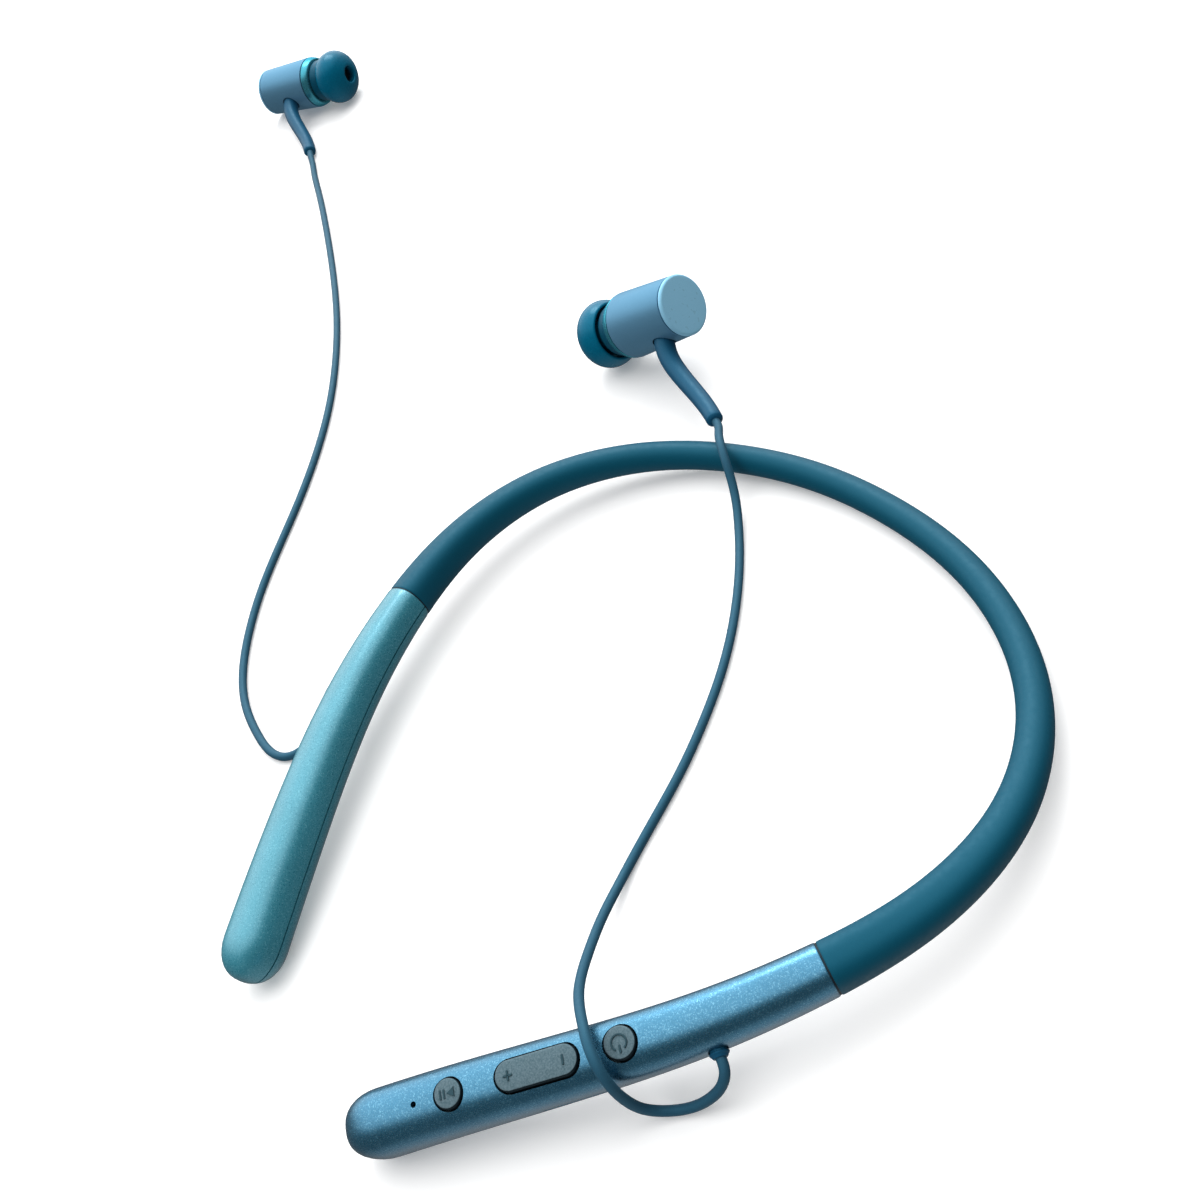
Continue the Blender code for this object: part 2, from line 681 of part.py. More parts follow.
def make_bud(side, place, heading, boot_end):
    frame = bud_frame(place, heading)
    length, front, rear = BODY_LENGTH, BODY_FRONT_RADIUS, BODY_REAR_RADIUS
    body = [(1.1 - length, rear), (-2.3, front), (-2.3, front - 0.9), (1.1 - length, rear - 1.0)]
    shell = turned(f"{side}_bud_body", body, "bud_metal", frame, sides=24, hollow=True)
    cap = [(-length, 0), (-length, rear - 0.4), (0.4 - length, rear), (0.8 - length, rear)]
    cap += [(0.8 - length, rear - 1.4), (2.0 - length, rear - 1.4), (2.0 - length, 0)]
    turned(f"{side}_bud_cap", cap, "bud_metal", frame, sides=24)
    band = [(-2.0, front), (-0.6, front - 0.4), (0, front - 0.8), (0, 3.3), (-2.0, 3.3)]
    turned(f"{side}_bud_ring", band, "ring_metal", frame, sides=24, hollow=True)
    nozzle = [(-3.0, 1.8), (-3.0, 3.0), (GAP, 3.0), (GAP, 6.1), (2.5, 5.9), (2.8, 5.6)]
    nozzle += [(2.8, 2.5), (7.3, 2.5), (7.6, 2.8), (8.1, 2.8), (8.4, 2.5), (8.4, 1.8)]
    turned(f"{side}_nozzle", nozzle, "neck_plastic", frame, sides=16, hollow=True)
    mesh = [(8.7, 0), (8.7, 2.3), (8.9, 2.3), (8.9, 0)]
    turned(f"{side}_nozzle_mesh", mesh, "steel", frame, sides=12)
    driver = [(-8.2, 0), (-8.2, 3.0), (-6.0, 3.0), (-6.0, 5.2), (-3.6, 5.2), (-3.6, 0)]
    turned(f"{side}_driver", driver, "steel", frame, sides=16)
    make_ear_tip(side, frame)
    hole, cord_end, ahead = make_boot(side, frame, boot_end)
    drill(shell, f"cutter_{side}_boot", BOOT_ROOT_RADIUS + GAP, 2.0, 12.0, hole, 16)
    return cord_end, ahead


def make_ear_tip(side, frame):
    """Mushroom tip: a stem over the nozzle and a dome folded back over the stem."""
    end, wide, bore = TIP_LENGTH, TIP_RADIUS, TIP_BORE_RADIUS
    outside = [(end, bore), (end, bore + 0.7), (end - 0.4, bore + 1.9), (end - 1.4, wide - 1.7)]
    outside += [(end - 3.0, wide - 0.5), (end - 4.9, wide), (end - 6.8, wide - 0.4)]
    outside += [(end - 8.2, wide - 1.2)]
    fold = [(end - 8.2, wide - 1.8), (end - 6.8, wide - 1.1), (end - 4.9, wide - 0.7)]
    fold += [(end - 3.3, wide - 1.2), (end - 2.3, wide - 2.2), (end - 2.0, 4.0)]
    stem = [(3.1, 4.0), (3.1, 3.1), (end - 2.2, 3.1), (end - 2.0, bore)]
    profile = outside + fold + stem
    turned(f"{side}_ear_tip", profile, "tip_silicone", frame, sides=16, hollow=True)


def make_cord(side, sign, boot_end, boot_heading):
    """The free cord, from the grommet on the housing to the bud's boot."""
    frame = section_frame(sign * CORD_EXIT_AT)
    out = frame.col[1].to_3d()
    face = frame.translation + out * (half_width(CORD_EXIT_AT) + 0.75 + GAP)
    route = [tuple(face), tuple(face + out * 1.8)]
    route += list(CORD_ROUTES[side])
    route += [tuple(boot_end + boot_heading * 1.8), tuple(boot_end)]
    points = smooth_curve(route, CORD_POINTS)
    line = bpy.data.curves.new(f"{side}_cord", "CURVE")
    line.dimensions = "3D"
    line.bevel_depth = CORD_RADIUS * MM
    line.bevel_resolution = 2
    line.use_fill_caps = True
    spline = line.splines.new("POLY")
    spline.points.add(len(points) - 1)
    for target, point in zip(spline.points, points):
        target.co = (*((Vector(point) + Vector((*APEX, 0))) * MM), 1.0)
    line.materials.append(material("cord_jacket"))
    bpy.context.scene.collection.objects.link(bpy.data.objects.new(f"{side}_cord", line))


# Assembly ---------------------------------------------------------------------------------


def main():
    for old in list(bpy.data.objects):
        bpy.data.objects.remove(old, do_unlink=True)
    make_sleeve()
    for side, sign, look in (("left", -1, "teal_paint"), ("right", 1, "blue_paint")):
        make_neck_plug(side, sign)
        top, bottom = make_shells(side, sign, look)
        if side == "right":
            make_round_key("power_button", POWER_AT, POWER_RADIUS, top)
            make_round_key("play_button", PLAY_AT, PLAY_RADIUS, top)
            make_rocker(top)
            drill(top, "cutter_microphone", 0.5, 0.0, 8.0, section_frame(MICROPHONE_AT), 12)
            make_port(top, bottom)
        make_cord(side, sign, *make_bud(side, *BUDS[side]))
    make_board()
    make_battery()


main()
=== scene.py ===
"""Neckband earphones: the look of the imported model, on a pale floor."""

import math

import bmesh
import bpy
import numpy as np
from mathutils import Matrix, Vector
from mathutils.bvhtree import BVHTree


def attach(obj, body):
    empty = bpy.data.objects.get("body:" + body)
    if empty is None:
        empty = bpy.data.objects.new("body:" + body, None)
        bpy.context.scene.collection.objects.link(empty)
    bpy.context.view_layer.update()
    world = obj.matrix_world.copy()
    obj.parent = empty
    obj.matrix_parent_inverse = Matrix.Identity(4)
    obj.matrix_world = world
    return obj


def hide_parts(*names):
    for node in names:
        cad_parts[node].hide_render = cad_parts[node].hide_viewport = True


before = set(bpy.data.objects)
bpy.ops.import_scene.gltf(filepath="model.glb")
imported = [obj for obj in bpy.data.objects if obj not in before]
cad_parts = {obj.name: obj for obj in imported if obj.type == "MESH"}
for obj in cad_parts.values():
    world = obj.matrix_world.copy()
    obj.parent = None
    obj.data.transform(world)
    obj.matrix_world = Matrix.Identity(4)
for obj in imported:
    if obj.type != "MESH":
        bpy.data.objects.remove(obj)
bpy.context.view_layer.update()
MM = 0.001
GAP = 0.3  # clearance between two pieces that touch, mm

# The band, mm. A station runs from -1 at the left tip, over 0 at the arch, to 1 at the right tip.
APEX = (113.74, 54.27)  # the arch's middle on the centreline, from the origin
HALF_PLAN = (
    (0.0, 0.0),
    (20.4, -2.0),
    (39.7, -8.7),
    (56.3, -20.5),
    (67.2, -37.7),
    (69.2, -57.9),
    (63.9, -77.7),
    (55.2, -96.2),
    (44.4, -113.6),
    (32.8, -130.5),
    (21.2, -147.4),
)
RISE = 5.7  # how far the arms bow up between the arch and the tips
ARCH_WIDTH = 5.8
TIP_WIDTH = 11.2
WIDEN_FROM = 0.15  # station where the sleeve starts to widen towards the housing
HEIGHT_RATIO = 1.03
SQUARENESS = 2.5  # superellipse exponent of the housing's section; the arch's is 2
SQUARE_FROM, SQUARE_OVER = 0.2, 0.4  # the stations over which it changes
LEAN = math.radians(16.0)  # how far the housings' top faces lean outwards
LEAN_FROM, LEAN_OVER = 0.30, 0.35
LAND = 0.35  # depth of the flat that the arch and the tips stand on
JOINT = 0.588  # station where the sleeve meets the housing
TIP_ROUND = 7.0
WALL = 1.1
SEAM = -0.30  # height of the seam between the shells, as a part of the half height
EDGE = 0.35  # length of the rounded edge on each side of a joint
SLEEVE_END = (0.975, 0.992)  # scales of the section at a rounded edge, from its end inwards
HOUSING_END = (0.972, 0.990)
SEAL_SCALE = 0.965
BORE_RADIUS = 1.9
SOCKET_DEPTH = 7.0  # of the wider bore at each end of the sleeve
SEAL_PLAY = 0.02  # between a joint's seal and the pieces on each side of it

# Controls, mm
POWER_AT, ROCKER_AT, PLAY_AT, MICROPHONE_AT = 0.750, 0.8185, 0.894, 0.925
POWER_RADIUS, PLAY_RADIUS = 2.65, 2.45
ROCKER_LENGTH, ROCKER_WIDTH = 14.4, 5.0
KEY_PROUD = 0.5
KEY_DEPTH = 3.1
FLANGE_DEPTH = 2.7
FLANGE_WIDTH = 0.5
KEY_EDGE, KEY_ROUNDING = 0.4, 0.3  # width and height of a key's rounded edge
KEY_DOME = 0.12  # how far its top rises from that edge to its middle
MARK_FOOT, MARK_SHOULDER, MARK_TOP = -0.25, 0.08, 0.15  # of a raised mark, from its key's top
FLAP_FROM, FLAP_TO = 0.776, 0.830
FLAP_TOP, FLAP_FOOT = math.radians(-6.0), math.radians(-58.0)
FLAP_THICKNESS = 0.9
CORD_EXIT_AT = 0.686
GROMMET_NECK, GROMMET_HEAD = 1.4, 0.75  # its radius in the wall, and its length outside
MICROPHONE_HOLE = 0.5  # radius
SCREWS_AT = (0.645, 0.955)
BOSS_RADIUS, PILLAR_RADIUS = 1.6, 2.2  # of the screw's seats in the top and bottom shells
SCREW_RADIUS, SCREW_HEAD_RADIUS = 0.6, 1.2

# Ear bud, mm, along its own X axis: X = 0 is the front of the body, the tip is at +X.
BODY_LENGTH = 20.0
BODY_FRONT_RADIUS = 7.5
BODY_REAR_RADIUS = 6.8
TIP_RADIUS = 7.9
TIP_LENGTH = 11.4
TIP_BORE_RADIUS = 2.4
BOOT_AT = -11.5
BOOT_LENGTH = 33.0  # from the body's axis
BOOT_ROOT_RADIUS, BOOT_END_RADIUS = 2.25, 1.8
BOOT_FOOT, BOOT_BEND = 4.6, 8.6  # where it starts and where it starts to bend, from that axis
BOOT_HANDLES = (6.0, 10.0)  # how stiffly it keeps the direction of its root and of its end
# Each bud: where the front of its body is, from the arch; the tip's direction as azimuth and
# elevation in degrees; where its boot ends.
BUDS = {
    "left": ((-280.5, 29.2, 7.67), (33.0, 2.4), (-260.65, 8.94, 2.0)),
    "right": ((-85.7, 3.6, 10.06), (204.0, -22.0), (-45.91, -4.17, 8.0)),
}

# Cords, mm from the arch: points chosen along each one's route.
CORD_RADIUS = 0.9
CORD_HOLD = GAP + 0.1  # how far a boot or grommet reaches, to close round the cord's end
CORD_LEVEL = 1.8  # how far a cord runs straight on from what holds it
CORD_ROUTES = {
    "left": (
        (-64.8, -99.2, 6.2),
        (-65.0, -102.2, 4.2),
        (-64.2, -105.4, 2.5),
        (-63.2, -108.6, 1.4),
        (-62.8, -111.8, 1.0),
        (-64.2, -114.9, 1.0),
        (-67.2, -116.5, 1.0),
        (-70.8, -116.9, 1.0),
        (-75.6, -116.5, 1.0),
        (-82.2, -115.3, 1.0),
        (-88.4, -113.3, 1.0),
        (-94.3, -110.3, 1.0),
        (-104.7, -102.5, 1.0),
        (-113.6, -93.6, 1.0),
        (-121.8, -83.4, 1.0),
        (-130.2, -72.6, 1.0),
        (-139.7, -61.8, 1.0),
        (-150.7, -51.2, 1.0),
        (-163.9, -40.9, 1.0),
        (-179.4, -30.8, 1.0),
        (-197.4, -20.9, 1.0),
        (-217.9, -10.8, 1.0),
        (-240.8, -0.4, 1.0),
        (-251.0, 4.1, 1.0),
        (-255.0, 6.2, 1.4),
    ),
    "right": (
        (63.4, -99.0, 5.6),
        (62.4, -101.2, 3.6),
        (61.0, -103.2, 2.2),
        (59.6, -105.0, 1.6),
        (58.2, -106.7, 1.6),
        (56.9, -108.4, 2.4),
        (55.9, -109.9, 4.2),
        (55.2, -110.9, 7.2),
        (54.6, -111.3, 10.2),
        (53.9, -111.3, 13.4),
        (52.0, -110.8, 15.9),
        (49.3, -109.8, 17.0),
        (45.6, -108.2, 16.9),
        (41.4, -106.5, 15.4),
        (38.0, -104.9, 13.6),
        (33.3, -101.9, 10.6),
        (28.9, -98.4, 7.6),
        (24.8, -94.6, 4.9),
        (21.4, -90.6, 2.8),
        (18.7, -86.3, 1.5),
        (16.6, -82.0, 1.0),
        (13.3, -73.3, 1.0),
        (9.8, -64.4, 1.0),
        (5.6, -55.7, 1.0),
        (0.7, -47.1, 1.0),
        (-5.2, -38.7, 1.0),
        (-12.1, -30.7, 1.0),
        (-20.3, -22.8, 1.0),
        (-25.5, -18.2, 1.7),
        (-28.8, -15.3, 3.0),
        (-31.8, -12.9, 5.2),
        (-34.4, -11.1, 7.5),
        (-37.9, -8.9, 8.9),
        (-41.0, -6.9, 8.6),
    ),
}

# The studio. The sky's level goes from what faces away from its brightest place to that place.
SKY_TOWARDS = (-0.55, 0.25, 0.8)
SKY_STOPS = ((0.0, 0.30), (0.2, 0.08), (0.55, 0.05), (0.675, 0.13), (0.80, 0.75), (0.95, 1.0))
SKY_STRENGTH = 2.1
FLOOR_REACH = 6.0  # m
FLOOR_GLOW = 0.15  # lifts its shadows
# Each softbox: where it is and its size in metres, and its power in watts.
KEY_LIGHT = ((-0.55, 0.5, 0.75), (0.6, 0.4), 5.0)
FILL_LIGHT = ((0.35, -0.6, 0.3), (0.5, 0.3), 1.5)
CAMERA_AT = (197.34, -110.11, 233.52)  # mm from the arch
CAMERA_RIGHT = (0.5729, 0.7248, -0.3827)
CAMERA_DOWN = (0.4318, -0.6638, -0.6107)
CAMERA_LENS = 49.9  # mm, on a sensor 36 mm wide

# Shading
SHARP = math.radians(38)  # an edge sharper than this isn't smoothed
SKIN_DEPTH = 0.00006  # m: how near to the uncut outline a face has to be to be shaded like it
SKIN_FACING = 0.9  # and the cosine of the most its direction may differ
SHEEN_TINT = (0.25, 0.75, 1.0, 1.0)  # of the silicone, rubber and anodised pieces
FLAKES = 6500  # per metre


# Curves and sections ----------------------------------------------------------------------


def smooth_curve(points, count):
    """A natural cubic spline through the points, as count points evenly spaced along it."""
    points = np.array(points, float)
    spans = np.linalg.norm(np.diff(points, axis=0), axis=1)
    knots = np.concatenate([[0.0], np.cumsum(spans)])
    last = len(points) - 1
    system = np.eye(last + 1)
    pull = np.zeros_like(points)
    slopes = np.diff(points, axis=0) / spans[:, None]
    for i in range(1, last):
        system[i, i - 1 : i + 2] = spans[i - 1], 2 * (spans[i - 1] + spans[i]), spans[i]
        pull[i] = 6 * (slopes[i] - slopes[i - 1])
    bend = np.linalg.solve(system, pull)
    fine = np.linspace(0, knots[-1], 60 * last)
    span = np.clip(np.searchsorted(knots, fine, side="right") - 1, 0, last - 1)
    width = spans[span][:, None]
    left = (knots[span + 1] - fine)[:, None] / width
    right = 1 - left
    curve = left * points[span] + right * points[span + 1]
    curve += ((left**3 - left) * bend[span] + (right**3 - right) * bend[span + 1]) * width**2 / 6
    along = np.concatenate([[0], np.cumsum(np.linalg.norm(np.diff(curve, axis=0), axis=1))])
    even = np.linspace(0, along[-1], count)
    return np.stack([np.interp(even, along, column) for column in curve.T], axis=1)


def angles_round(sides):
    return [2 * math.pi * k / sides for k in range(sides)]


def smoothstep(value):
    value = min(max(value, 0.0), 1.0)
    return value * value * (3 - 2 * value)


PLAN = smooth_curve([(-x, y) for x, y in HALF_PLAN[:0:-1]] + list(HALF_PLAN), 801)
HALF_LENGTH = np.linalg.norm(np.diff(PLAN, axis=0), axis=1).sum() / 2


def half_width(at):
    widen = smoothstep((abs(at) - WIDEN_FROM) / (1 - WIDEN_FROM))
    return (ARCH_WIDTH + (TIP_WIDTH - ARCH_WIDTH) * widen) / 2


def squareness(at):
    return 2.0 + (SQUARENESS - 2.0) * smoothstep((abs(at) - SQUARE_FROM) / SQUARE_OVER)


def lean(at):
    return LEAN * smoothstep((abs(at) - LEAN_FROM) / LEAN_OVER)


def centre(at):
    x, y = (np.interp(at, np.linspace(-1, 1, len(PLAN)), PLAN[:, k]) for k in (0, 1))
    depth = min(max(y / PLAN[0, 1], 0.0), 1.0)
    wide = half_width(at)
    power = squareness(at) / (squareness(at) - 1)
    across = (wide * math.sin(lean(at))) ** power
    upright = (wide * HEIGHT_RATIO * math.cos(lean(at))) ** power
    foot = (across + upright) ** (1 / power) - LAND
    return Vector((x, y, foot + 4 * RISE * depth * (1 - depth)))


def station(at):
    """The middle of the section there, and the directions along the band, outwards and up."""
    step = 0.004
    tangent = (centre(min(at + step, 1)) - centre(max(at - step, -1))).normalized()
    level_out = Vector((-tangent.y, tangent.x, 0)).normalized()
    upright = tangent.cross(level_out)
    turn = lean(at)
    out = level_out * math.cos(turn) - upright * math.sin(turn)
    up = upright * math.cos(turn) + level_out * math.sin(turn)
    return centre(at), tangent, out, up


def ring_point(at, angle, inset):
    middle, _, out, up = station(at)
    wide = half_width(at) - inset
    tall = half_width(at) * HEIGHT_RATIO - inset
    power = 2 / squareness(at)
    x = math.copysign(abs(math.cos(angle)) ** power, math.cos(angle)) * wide
    y = math.copysign(abs(math.sin(angle)) ** power, math.sin(angle)) * tall
    return middle + out * x + up * y


def ring(at, inset=0.0, scale=1.0, sides=64, shift=0.0):
    """The outline at a station, evenly spaced round it. What would be under Z = 0 is flat."""
    middle, tangent, out, up = station(at)
    wide = (half_width(at) - inset) * scale
    tall = (half_width(at) * HEIGHT_RATIO - inset) * scale
    power = 2 / squareness(at)
    fine = np.linspace(0, 2 * math.pi, 721)
    x = np.sign(np.cos(fine)) * np.abs(np.cos(fine)) ** power * wide
    y = np.sign(np.sin(fine)) * np.abs(np.sin(fine)) ** power * tall
    along = np.concatenate([[0], np.cumsum(np.hypot(np.diff(x), np.diff(y)))])
    even = np.linspace(0, along[-1], sides + 1)[:-1]
    points = []
    for px, py in zip(np.interp(even, along, x), np.interp(even, along, y)):
        point = middle + tangent * shift + out * px + up * py
        if inset == 0.0:
            point.z = max(point.z, 0.0)
        points.append(point)
    return points


def round_ring(at, radius, sides):
    middle, _, out, up = station(at)
    spokes = [out * math.cos(a) + up * math.sin(a) for a in angles_round(sides)]
    return [middle + spoke * radius for spoke in spokes]


def section_frame(at, height=0.0):
    """The axes of a station, X along the band, Y outwards and Z up, that high over its middle."""
    middle, tangent, out, up = station(at)
    matrix = Matrix((tangent, out, up)).transposed().to_4x4()
    matrix.translation = middle + up * height
    return matrix


# Meshes -----------------------------------------------------------------------------------


def solid(name, points, faces, matrix=None):
    """A smooth mesh object with its vertices in the row frame, in metres."""
    origin = Vector((*APEX, 0))
    matrix = Matrix.Identity(4) if matrix is None else matrix
    mesh = bpy.data.meshes.new(name)
    mesh.from_pydata([(matrix @ Vector(p) + origin) * MM for p in points], [], faces)
    shape = bmesh.new()
    shape.from_mesh(mesh)
    bmesh.ops.recalc_face_normals(shape, faces=shape.faces)
    shape.to_mesh(mesh)
    shape.free()
    mesh.shade_smooth()
    mesh.set_sharp_from_angle(angle=SHARP)
    made = bpy.data.objects.new(name, mesh)
    bpy.context.scene.collection.objects.link(made)
    return made


def side_faces(rings, sides):
    faces = []
    for start in range(0, (rings - 1) * sides, sides):
        for k in range(sides):
            here, following = start + k, start + (k + 1) % sides
            faces.append((here, following, following + sides, here + sides))
    return faces


def loft(name, rings, matrix=None):
    """A closed skin over the rings."""
    sides = len(rings[0])
    faces = side_faces(len(rings), sides)
    faces.append(tuple(range(sides)))
    faces.append(tuple(range((len(rings) - 1) * sides, len(rings) * sides)))
    return solid(name, [point for one in rings for point in one], faces, matrix)


def tube(name, outside, inside):
    """A skin over the outer rings and back through the inner ones."""
    sides = len(outside[0])
    rings = outside + inside[::-1]
    faces = side_faces(len(rings), sides)
    last = (len(rings) - 1) * sides
    faces += [(last + k, last + (k + 1) % sides, (k + 1) % sides, k) for k in range(sides)]
    return solid(name, [point for one in rings for point in one], faces)


def filleted(profile, radius=0.3, steps=4, closed=False):
    """The outline with each corner rounded over, as far as its sides allow."""
    points = [np.array(p, float) for p in profile]
    smooth = []
    for i, here in enumerate(points):
        if not closed and i in (0, len(points) - 1):
            smooth.append(tuple(here))
            continue
        before, after = points[i - 1], points[(i + 1) % len(points)]
        to_before, to_after = before - here, after - here
        reach = min(radius, 0.48 * np.linalg.norm(to_before), 0.48 * np.linalg.norm(to_after))
        start = here + to_before / np.linalg.norm(to_before) * reach
        end = here + to_after / np.linalg.norm(to_after) * reach
        for t in np.linspace(0, 1, steps + 1):
            smooth.append(tuple(start * (1 - t) ** 2 + here * 2 * t * (1 - t) + end * t * t))
    return smooth


def turned(name, profile, matrix=None, sides=96, hollow=False):
    """A body of revolution about X."""
    points, rows = [], []
    for x, radius in profile:
        if radius < 1e-6:
            rows.append([len(points)])
            points.append((x, 0, 0))
            continue
        rows.append(list(range(len(points), len(points) + sides)))
        points += [(x, radius * math.cos(a), radius * math.sin(a)) for a in angles_round(sides)]
    faces = []
    pairs = list(zip(rows, rows[1:]))
    if hollow:
        pairs.append((rows[-1], rows[0]))
    for one, two in pairs:
        for k in range(sides):
            following = (k + 1) % sides
            if len(one) == 1:
                faces.append((one[0], two[k], two[following]))
            elif len(two) == 1:
                faces.append((one[following], one[k], two[0]))
            else:
                faces.append((one[k], two[k], two[following], one[following]))
    return solid(name, points, faces, matrix)


def circle(radius, height, sides):
    return [(radius * math.cos(a), radius * math.sin(a), height) for a in angles_round(sides)]


def stadium(length, width, height, sides=96):
    points = []
    for k in range(sides):
        angle = 2 * math.pi * (k + 0.5) / sides
        shift = math.copysign((length - width) / 2, math.cos(angle))
        points.append((shift + width / 2 * math.cos(angle), width / 2 * math.sin(angle), height))
    return points


def cut(piece, cutter, operation="DIFFERENCE"):
    """Applies a Boolean and drops its cutter."""
    change = piece.modifiers.new("cut", "BOOLEAN")
    change.operation = operation
    change.object = cutter
    change.solver = "EXACT"
    graph = bpy.context.evaluated_depsgraph_get()
    mesh = bpy.data.meshes.new_from_object(piece.evaluated_get(graph))
    piece.modifiers.clear()
    piece.data = mesh
    bpy.data.objects.remove(cutter, do_unlink=True)


def take_normals(piece, smooth):
    """Shades the outside as the uncut surface is shaded, so that holes leave no marks on it."""
    outline = smooth.data
    tree = BVHTree.FromPolygons(
        [vertex.co for vertex in outline.vertices],
        [tuple(face.vertices) for face in outline.polygons],
    )
    mesh = piece.data
    mesh.shade_smooth()
    mesh.set_sharp_from_angle(angle=SHARP)
    normals = [Vector(n.vector) for n in mesh.corner_normals]
    for face in mesh.polygons:
        _, normal, _, distance = tree.find_nearest(face.center)
        if distance > SKIN_DEPTH or normal.dot(face.normal) < SKIN_FACING:
            continue
        for corner in face.loop_indices:
            point = mesh.vertices[mesh.loops[corner].vertex_index].co
            _, _, near, _ = tree.find_nearest(point)
            total = Vector((0, 0, 0))
            for vertex in outline.polygons[near].vertices:
                weight = 1 / ((outline.vertices[vertex].co - point).length + 1e-7) ** 2
                total += outline.vertices[vertex].normal * weight
            normals[corner] = total.normalized()
    mesh.normals_split_custom_set(normals)


# Materials --------------------------------------------------------------------------------


def new_material(name, **values):
    """A material whose sockets are set by name, with an underscore for a space."""
    made = bpy.data.materials.new(name)
    made.use_nodes = True
    tree = made.node_tree
    shader = tree.nodes["Principled BSDF"]
    for socket, value in values.items():
        shader.inputs[socket.replace("_", " ")].default_value = value
    return made, tree, shader


def noise(tree, scale, detail=2.0, rough=0.5):
    """Noise in the row frame; scale is in features per metre."""
    place = tree.nodes.new("ShaderNodeTexCoord")
    made = tree.nodes.new("ShaderNodeTexNoise")
    made.inputs["Scale"].default_value = scale
    made.inputs["Detail"].default_value = detail
    made.inputs["Roughness"].default_value = rough
    tree.links.new(place.outputs["Object"], made.inputs["Vector"])
    return made


def ramp(tree, source, stops):
    made = tree.nodes.new("ShaderNodeValToRGB")
    while len(made.color_ramp.elements) < len(stops):
        made.color_ramp.elements.new(0.5)
    for element, (position, colour) in zip(made.color_ramp.elements, stops):
        element.position = position
        element.color = (*colour, 1.0)
    tree.links.new(source, made.inputs["Fac"])
    return made


def greys(*stops):
    """Stops for a ramp of plain levels."""
    return [(position, (level,) * 3) for position, level in stops]


def vary_roughness(tree, shader, source, *stops):
    gloss = ramp(tree, source, greys(*stops))
    tree.links.new(gloss.outputs["Color"], shader.inputs["Roughness"])


def bump(tree, shader, height, strength, distance):
    made = tree.nodes.new("ShaderNodeBump")
    made.inputs["Strength"].default_value = strength
    made.inputs["Distance"].default_value = distance
    tree.links.new(height, made.inputs["Height"])
    tree.links.new(made.outputs["Normal"], shader.inputs["Normal"])


def grainy(name, dark, light, scale, roughness, metallic, relief, strength):
    """A material whose colour, roughness and surface vary with a fine noise."""
    made, tree, shader = new_material(name, Metallic=metallic, Specular_IOR_Level=0.35)
    shader.inputs["Specular Tint"].default_value = SHEEN_TINT
    fine = noise(tree, scale, 3.0, 0.6)
    colour = ramp(tree, fine.outputs["Fac"], ((0.3, dark), (0.7, light)))
    tree.links.new(colour.outputs["Color"], shader.inputs["Base Color"])
    broad = noise(tree, scale * 0.12, 3.0).outputs["Fac"]
    vary_roughness(tree, shader, broad, (0.3, roughness * 0.88), (0.7, roughness * 1.12))
    bump(tree, shader, fine.outputs["Fac"], strength, relief)
    return made


def flake_paint(name, dark, light, flake, roughness, metallic):
    """Metallic paint: fine flakes of differing brightness under a clear coat."""
    made, tree, shader = new_material(name, Metallic=metallic, Coat_Weight=0.7, Coat_Roughness=0.25)
    place = tree.nodes.new("ShaderNodeTexCoord")
    cells = tree.nodes.new("ShaderNodeTexVoronoi")
    cells.inputs["Scale"].default_value = FLAKES
    tree.links.new(place.outputs["Object"], cells.inputs["Vector"])
    split = tree.nodes.new("ShaderNodeSeparateColor")
    tree.links.new(cells.outputs["Color"], split.inputs["Color"])
    sparkle = ramp(tree, split.outputs["Red"], ((0.0, dark), (0.8, light), (0.99, flake)))
    broad = ramp(tree, noise(tree, 90).outputs["Fac"], greys((0.3, 0.9), (0.7, 1.0)))
    mix = tree.nodes.new("ShaderNodeMix")
    mix.data_type = "RGBA"
    mix.blend_type = "MULTIPLY"
    mix.inputs["Factor"].default_value = 1.0
    tree.links.new(sparkle.outputs["Color"], mix.inputs["A"])
    tree.links.new(broad.outputs["Color"], mix.inputs["B"])
    tree.links.new(mix.outputs["Result"], shader.inputs["Base Color"])
    coarse = split.outputs["Green"]
    vary_roughness(tree, shader, coarse, (0.0, roughness * 0.75), (1.0, roughness * 1.25))
    bump(tree, shader, split.outputs["Blue"], 0.12, 0.00003)
    return made


def brushed(name, dark, light, roughness):
    """Turned or rolled metal with fine lines."""
    made, tree, shader = new_material(name, Metallic=1.0)
    place = tree.nodes.new("ShaderNodeTexCoord")
    stretch = tree.nodes.new("ShaderNodeMapping")
    stretch.inputs["Scale"].default_value = (1.0, 1.0, 12.0)
    lines = tree.nodes.new("ShaderNodeTexNoise")
    lines.inputs["Scale"].default_value = 900
    tree.links.new(place.outputs["Object"], stretch.inputs["Vector"])
    tree.links.new(stretch.outputs["Vector"], lines.inputs["Vector"])
    colour = ramp(tree, lines.outputs["Fac"], ((0.3, dark), (0.7, light)))
    tree.links.new(colour.outputs["Color"], shader.inputs["Base Color"])
    fine = lines.outputs["Fac"]
    vary_roughness(tree, shader, fine, (0.3, roughness * 0.8), (0.7, roughness * 1.3))
    bump(tree, shader, lines.outputs["Fac"], 0.2, 0.00001)
    return made


